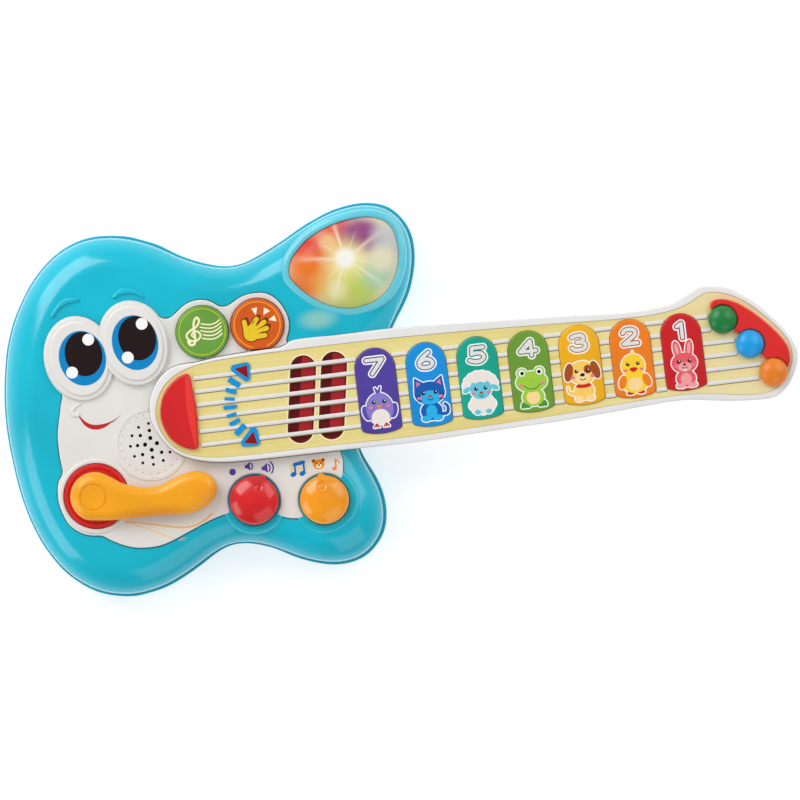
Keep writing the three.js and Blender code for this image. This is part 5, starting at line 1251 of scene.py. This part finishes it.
# ---- round buttons ------------------------------------------------------------------------------
for name, c, flat, mat, ring_mat in (("green_button", GREEN_BUTTON, False, "green", "lime_ink"), ("orange_button", ORANGE_BUTTON, True, "orange", "amber_ink")):
    cutoff = lambda X, Y: BUTTON_FLAT_Y - Y
    shape_ = circle(*c, BUTTON_R)
    flange = circle(*c, 15.78)
    if flat:
        shape_, flange = both(shape_, cutoff), both(flange, cutoff)
    box = (c[0] - 17, c[0] + 17, c[1] - 17, c[1] + 17)
    s = Solid()
    s.shape(shape_, box, 36.2, 42.5, 1.0, 6, h=0.3, tol=0.006)
    s.shape(flange, box, 35.0, 36.4, 0.1, 1, h=0.3, tol=0.01)
    s.turned(c, [(0, 33.4), (3.5, 33.4), (3.5, 36), (0, 36)], 32)
    piece(f"{name}_cap", s, M[mat], name, (name,))
    z = 42.5
    s = Solid()
    rim = less(circle(*c, 13.55), circle(*c, 13.0))
    if flat:
        rim = both(rim, lambda X, Y: BUTTON_FLAT_Y + 1.3 - Y)
    s.shape(rim, box, z - 0.2, z + 0.04, 0, m=0, h=0.14)
    if not flat:
        clef = [(-117.4, 36.6), (-116.4, 35.0), (-114.4, 35.0), (-113.4, 36.8), (-113.3, 40.6), (-113.4, 45.0), (-112.6, 48.8), (-110.9, 50.2), (-109.9, 48.4), (-111.4, 45.4), (-115.4, 43.2), (-118.0, 40.8), (-117.2, 38.2), (-114.2, 36.9), (-111.2, 37.8), (-110.0, 40.0), (-111.4, 42.2), (-113.8, 42.2), (-115.0, 40.6), (-114.2, 39.2)]
        f = stroke(clef, 1.35, 1.0, True)
        dots = [circle(-117.0, 36.8, 1.15)]
        staves = [stroke([(-109.6, y), (-106.6, y - 0.9), (-103.2, y - 1.3), (-100.0, y - 0.4), (-97.6, y + 1.2)], 0.8, 0.8, True) for y in (46.6, 44.5, 42.4, 40.3, 38.2)]
        art = union(f, *dots, *[less(t, grow(f, 0.7)) for t in staves])
        s.shape(both(art, circle(*c, 12.4)), box, z - 0.2, z + 0.05, 0, m=1, h=0.12)
        mats = [M[ring_mat], M["cream"]]
    else:
        fingers = [[(-83.6, 38.6), (-84.2, 44.4)], [(-81.0, 40.4), (-77.0, 45.2)], [(-79.2, 39.4), (-72.8, 43.0)], [(-78.4, 37.6), (-71.8, 39.3)], [(-78.8, 35.2), (-73.2, 35.4)]]
        palm = union(circle(-80.9, 37.4, 4.5), grow(poly([(-83.6, 38.6), (-81.4, 35.0), (-77.4, 34.9), (-76.6, 38.6), (-79.4, 41.2), (-82.6, 40.6)]), 1.1))
        hand = union(palm, *[stroke(t, 2.9, 2.7) for t in fingers])
        behind = moved(union(*[stroke(t, 2.9, 2.7) for t in fingers[:4]]), 1.3, 1.2)
        folds = union(*[stroke(t, 0.4) for t in ([(-77.6, 41.4), (-75.0, 43.4)], [(-76.6, 39.6), (-74.0, 40.6)], [(-76.4, 36.9), (-73.6, 37.6)], [(-80.0, 42.6), (-78.2, 44.6)])])
        flashes = union(poly([(-79.2, 51.6), (-75.8, 51.9), (-77.0, 47.3)]), poly([(-71.9, 51.3), (-68.6, 49.0), (-72.8, 47.0)]), poly([(-66.4, 46.3), (-65.6, 42.6), (-70.2, 43.9)]))
        s.shape(both(behind, circle(*c, 12.7)), box, z - 0.2, z + 0.04, 0, m=1, h=0.12)
        s.shape(both(grow(hand, 0.6), circle(*c, 12.7)), box, z - 0.2, z + 0.05, 0, m=1, h=0.12)
        s.shape(both(hand, circle(*c, 12.4)), box, z - 0.2, z + 0.07, 0, m=2, h=0.12)
        s.shape(folds, box, z - 0.2, z + 0.09, 0, m=1, h=0.1)
        s.shape(both(flashes, circle(*c, 12.6)), box, z - 0.2, z + 0.05, 0, m=3, h=0.12)
        mats = [M[ring_mat], M["brown_ink"], M["yellow_ink"], M["cream"]]
    piece(f"{name}_print", s, mats, name)

# ---- knobs --------------------------------------------------------------------------------------
DOME = [(14.1, 42.3), (14.04, 43.0), (13.8, 43.7), (13.35, 44.35), (12.7, 44.95), (11.7, 45.6), (10.4, 46.2), (8.8, 46.8), (7, 47.3), (5, 47.75), (3, 48.08), (1.4, 48.25), (0, 48.3)]
DOME_R, DOME_Z = [a for a, _ in DOME][::-1], [z for _, z in DOME][::-1]


for name, c, angle, mat, slot in (("volume", VOLUME, 63.5, "red_knob", "red_plastic"), ("mode", MODE, 91.5, "amber_knob", "yellow_orange_plastic")):
    u = np.array([math.cos(math.radians(angle)), math.sin(math.radians(angle))])
    s = Solid()
    s.turned(c, [(0, 39.6), (3.3, 39.6), (3.3, 31.4), (5.4, 31.4), (5.4, 40.4), (12.2, 40), (12.2, 36.6), (13.9, 36.6), (14.1, 36.9), *DOME], 128)
    at = np.array(c) + u * 8
    dish = Solid()
    on_dome = lambda X, Y, c=c: np.interp(np.hypot(X - c[0], Y - c[1]), DOME_R, DOME_Z)
    cup_r, cup_z = [0, 1.2, 2.0, 2.6, 3.0, 3.3], [-1.15, -1.05, -0.8, -0.45, -0.1, 0.4]
    rings = [(ring_pts(at, max(r, 0.02), 72), z) for r, z in zip(cup_r, cup_z)]
    dish.loft([(p, on_dome(p[:, 0], p[:, 1]) + z) for p, z in rings] + [(ring_pts(at, 3.3, 72), 50.5)])
    piece(f"{name}_knob_cap", s, M[mat], f"{name}_knob", (f"{name}_knob",), cutters=(dish,), angle=28)
    s = Solid()
    dish_box = (at[0] - 5, at[0] + 5, at[1] - 5, at[1] + 5)
    s.shape(less(circle(*at, 3.75), circle(*at, 3.1)), dish_box, -0.6, 0.2, 0.25, 4, h=0.12, lift=on_dome)
    s.shape(circle(*at, 1.25), dish_box, -1.5, -0.55, 0.5, 5, h=0.1, lift=on_dome)
    piece(f"{name}_knob_ring", s, M[mat], f"{name}_knob")
    n = np.array([-u[1], u[0]])
    tip = [np.array(c) + u * a + n * b for a, b in ((12.0, -2.7), (13.8, -2.3), (15.2, -1.0), (15.4, 0), (15.2, 1.0), (13.8, 2.3), (12.0, 2.7))]
    s = Solid()
    s.plate(soften(resample(pts(np.array(tip).ravel().tolist()), 60), 1), [], 40.3, 44.0, 0.6, 4)
    piece(f"{name}_pointer", s, M[mat], f"{name}_knob")

# ---- whammy lever -------------------------------------------------------------------------------
lever = spline(LEVER_LINE + arc(LEVER, 14.2, 242, 72, 14), 300, 4)
LR = deep_insets(lever, [0, 0.1, 0.3, 0.4, 0.8, 0.9, 1.2, 1.5, 1.9, 2.6, 3.3, 4.2, 5, 6])
s = Solid()
s.loft([(LR[1.2], 41), (LR[0.4], 41.35), (LR[0.1], 41.9), (LR[0], 42.6), (LR[0], 46.2), (LR[0.1], 46.9), (LR[0.4], 47.7), (LR[0.8], 48.3), (LR[1.5], 49.0), (LR[2.6], 49.75), (LR[3.3], 50.1), (LR[4.2], 50.4), (LR[5], 50.56), (LR[6], 50.6)])
groove = Solid()
rows = [(6.8, 50.2), (6.95, 50.12), (7.25, 50.08), (7.55, 50.12), (7.8, 50.3), (7.8, 51.5), (6.8, 51.5)]
ids = [groove.ring(ring_pts((-182.0, -45.2), r, 120), z) for r, z in rows]
for a, b in zip(ids, ids[1:] + ids[:1]):
    groove.wall(a, b)
piece("whammy_lever_arm", s, M["gold"], "whammy_lever", ("whammy_lever",), cutters=(groove,), angle=28)
s = Solid()
s.turned(LEVER, [(1.6, 38.5), (1.6, 29.9), (4, 29.9), (4, 42), (0, 42), (0, 38.5), (1.6, 38.5)], 48)
piece("whammy_lever_post", s, M["gold"], "whammy_lever")
s = Solid()
s.turned(LEVER_SEAT, [(4.5, 39.5), (4.5, 35.1), (19.5, 35.1), (19.5, 36.4), (18.65, 36.4), (18.65, 39.6), (18.5, 40.0), (18.1, 40.2), (16.6, 40.2), (16.2, 40.1), (15.6, 39.65), (15.2, 39.5), (4.5, 39.5)], 160)
piece("lever_base_dish", s, M["lever_disc"], replaces=("lever_base",))

# ---- light --------------------------------------------------------------------------------------
s = Solid()
rows = [(scaled(egg, LIGHT, 0.3), 42.6), (scaled(egg, LIGHT, 0.6), 41.8), (scaled(egg, LIGHT, 0.84), 40), (inset(egg, 2), 38.2), (inset(egg, 2), 26.4), (inset(egg, -1.2), 26.4), (inset(egg, -1.2), 27.7), (egg, 27.7), (egg, 38.2)]
rows += [(scaled(egg, LIGHT, k), z) for k, z in ((0.992, 38.75), (0.978, 39.35), (0.958, 40.1), (0.93, 40.95), (0.89, 41.8), (0.84, 42.55), (0.78, 43.2), (0.7, 43.8), (0.6, 44.3), (0.48, 44.7), (0.35, 44.94), (0.2, 45.0))]
s.loft(rows)
piece("light_lens_dome", s, M["lens"], replaces=("light_lens",), angle=60)

# ---- head ---------------------------------------------------------------------------------------
bar = poly(simplify(spline(BAR_LINE, 260, 3), 0.01))
s = Solid()
s.shape(less(bar, *[circle(*t, 8.6) for t in TUNERS]), (178, 228, -24, 28), 46.5, 49.2, 0.9, 5, h=0.2, tol=0.008)
piece("head_bar_skin", s, M["bar"], replaces=("head_bar",))
for name, t in zip(("green", "blue", "orange"), TUNERS):
    s = Solid()
    s.turned(t, [(0, 38.4), (2.9, 38.4), (4.2, 40.6), (4.2, 42.2), (3, 42.2), (3, 46.6), (6.9, 46.6), (7.5, 46.72), (7.95, 47.1), (8.15, 47.6), (8.2, 48.2), (8.1, 48.9), (7.8, 49.7), (7.3, 50.45), (6.6, 51.15), (5.7, 51.8), (4.6, 52.35), (3.3, 52.8), (1.8, 53.1), (0, 53.2)], 112)
    piece(f"tuner_{name}_ball", s, M[f"ball_{name}"], f"tuner_{name}", (f"tuner_{name}",), angle=50)

# ---- the pieces kept from the frame get their own finish ---------------------------------------
KEPT = [
    ("screw", "steel"), ("spring", "steel"), ("shaft", "steel"), ("contact", "contact"), ("battery_1", "cell"), ("battery_2", "cell"), ("battery_3", "cell"),
    ("board", "board"), ("membrane", "silicone"), ("_switch", "switch"), ("basket", "basket"), ("magnet", "basket"), ("cone", "paper"), ("reflector", "reflector"),
    ("lamp_red", "lamp_red"), ("lamp_green", "lamp_green"), ("lamp_blue", "lamp_blue"),
]
for name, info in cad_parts.items():
    o = bpy.data.objects.get(name)
    if o is None or o.type != "MESH":
        continue
    mat = next((M[m] for key, m in KEPT if key in name), M["black_part"])
    if not o.data.materials:
        o.data.materials.append(mat)
    for slot in o.material_slots:
        slot.material = mat

# ---- floor, lights and camera -------------------------------------------------------------------
me = bpy.data.meshes.new("floor")
me.from_pydata([(-6, -6, -0.0004), (6, -6, -0.0004), (6, 6, -0.0004), (-6, 6, -0.0004)], [], [(0, 1, 2, 3)])
floor_ = bpy.data.objects.new("floor", me)
bpy.context.scene.collection.objects.link(floor_)
n = Nodes("floor")
me.materials.append(n.set(Base_Color=n.mix(n.spread(n.noise(3, 2.0), 0.0, 1.0), lin((212, 212, 212)), lin((216, 216, 216))), Roughness=0.9, Specular_IOR_Level=0.1, Emission_Color=(1, 1, 1, 1), Emission_Strength=0.56))
floor_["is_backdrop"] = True

world = bpy.data.worlds.new("studio")
bpy.context.scene.world = world
world.use_nodes = True
bg = world.node_tree.nodes["Background"]
bg.inputs[0].default_value = (1, 1, 1, 1)
wt = world.node_tree
look, axes, fall = wt.nodes.new("ShaderNodeTexCoord"), wt.nodes.new("ShaderNodeSeparateXYZ"), wt.nodes.new("ShaderNodeMapRange")
fall.interpolation_type = "SMOOTHSTEP"
for k, v in (("From Min", 0.12), ("From Max", 0.5), ("To Min", 0.74), ("To Max", 0.34)):
    fall.inputs[k].default_value = v
wt.links.new(look.outputs["Generated"], axes.inputs[0])
wt.links.new(axes.outputs[2], fall.inputs["Value"])
side, both_ = wt.nodes.new("ShaderNodeMapRange"), wt.nodes.new("ShaderNodeMath")
for k, v in (("From Min", -0.7), ("From Max", 0.8), ("To Min", 0.7), ("To Max", 1.35)):
    side.inputs[k].default_value = v
both_.operation = "MULTIPLY"
wt.links.new(axes.outputs[1], side.inputs["Value"])
wt.links.new(fall.outputs[0], both_.inputs[0])
wt.links.new(side.outputs[0], both_.inputs[1])
wt.links.new(both_.outputs[0], bg.inputs[1])


def area(name, at, size, power, target=(-0.02, 0, 0.03), sy=None):
    d = bpy.data.lights.new(name, "AREA")
    d.shape, d.size, d.size_y, d.energy = "RECTANGLE", size, sy or size, power
    o = bpy.data.objects.new(name, d)
    o.location = at
    o.rotation_euler = (Vector(target) - Vector(at)).to_track_quat("-Z", "Y").to_euler()
    bpy.context.scene.collection.objects.link(o)


area("key", (-0.9, 1.1, 1.25), 1.2, 17.2)
area("fill", (1.2, 0.7, 1.3), 1.3, 9.7)
area("low", (0.5, -1.3, 1.1), 1.4, 5.4)
area("left", (-1.4, -0.5, 0.9), 0.9, 5.5)

cam_data = bpy.data.cameras.new("camera")
cam_data.sensor_width = 36
cam_data.lens = 36 * (2.5 - 0.043) / 0.46
cam_data.clip_start, cam_data.clip_end = 0.05, 20
cam = bpy.data.objects.new("camera", cam_data)
cam.location = (-0.0006, -0.0109, 2.5)
cam.rotation_euler = (0, 0, -math.radians(6.9))
bpy.context.scene.collection.objects.link(cam)
bpy.context.scene.camera = cam
bpy.context.scene.view_settings.view_transform = "Standard"

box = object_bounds()
{"cad": [list(map(float, v)) for v in CAD_BOX], "visual": [list(map(float, v)) for v in box]}
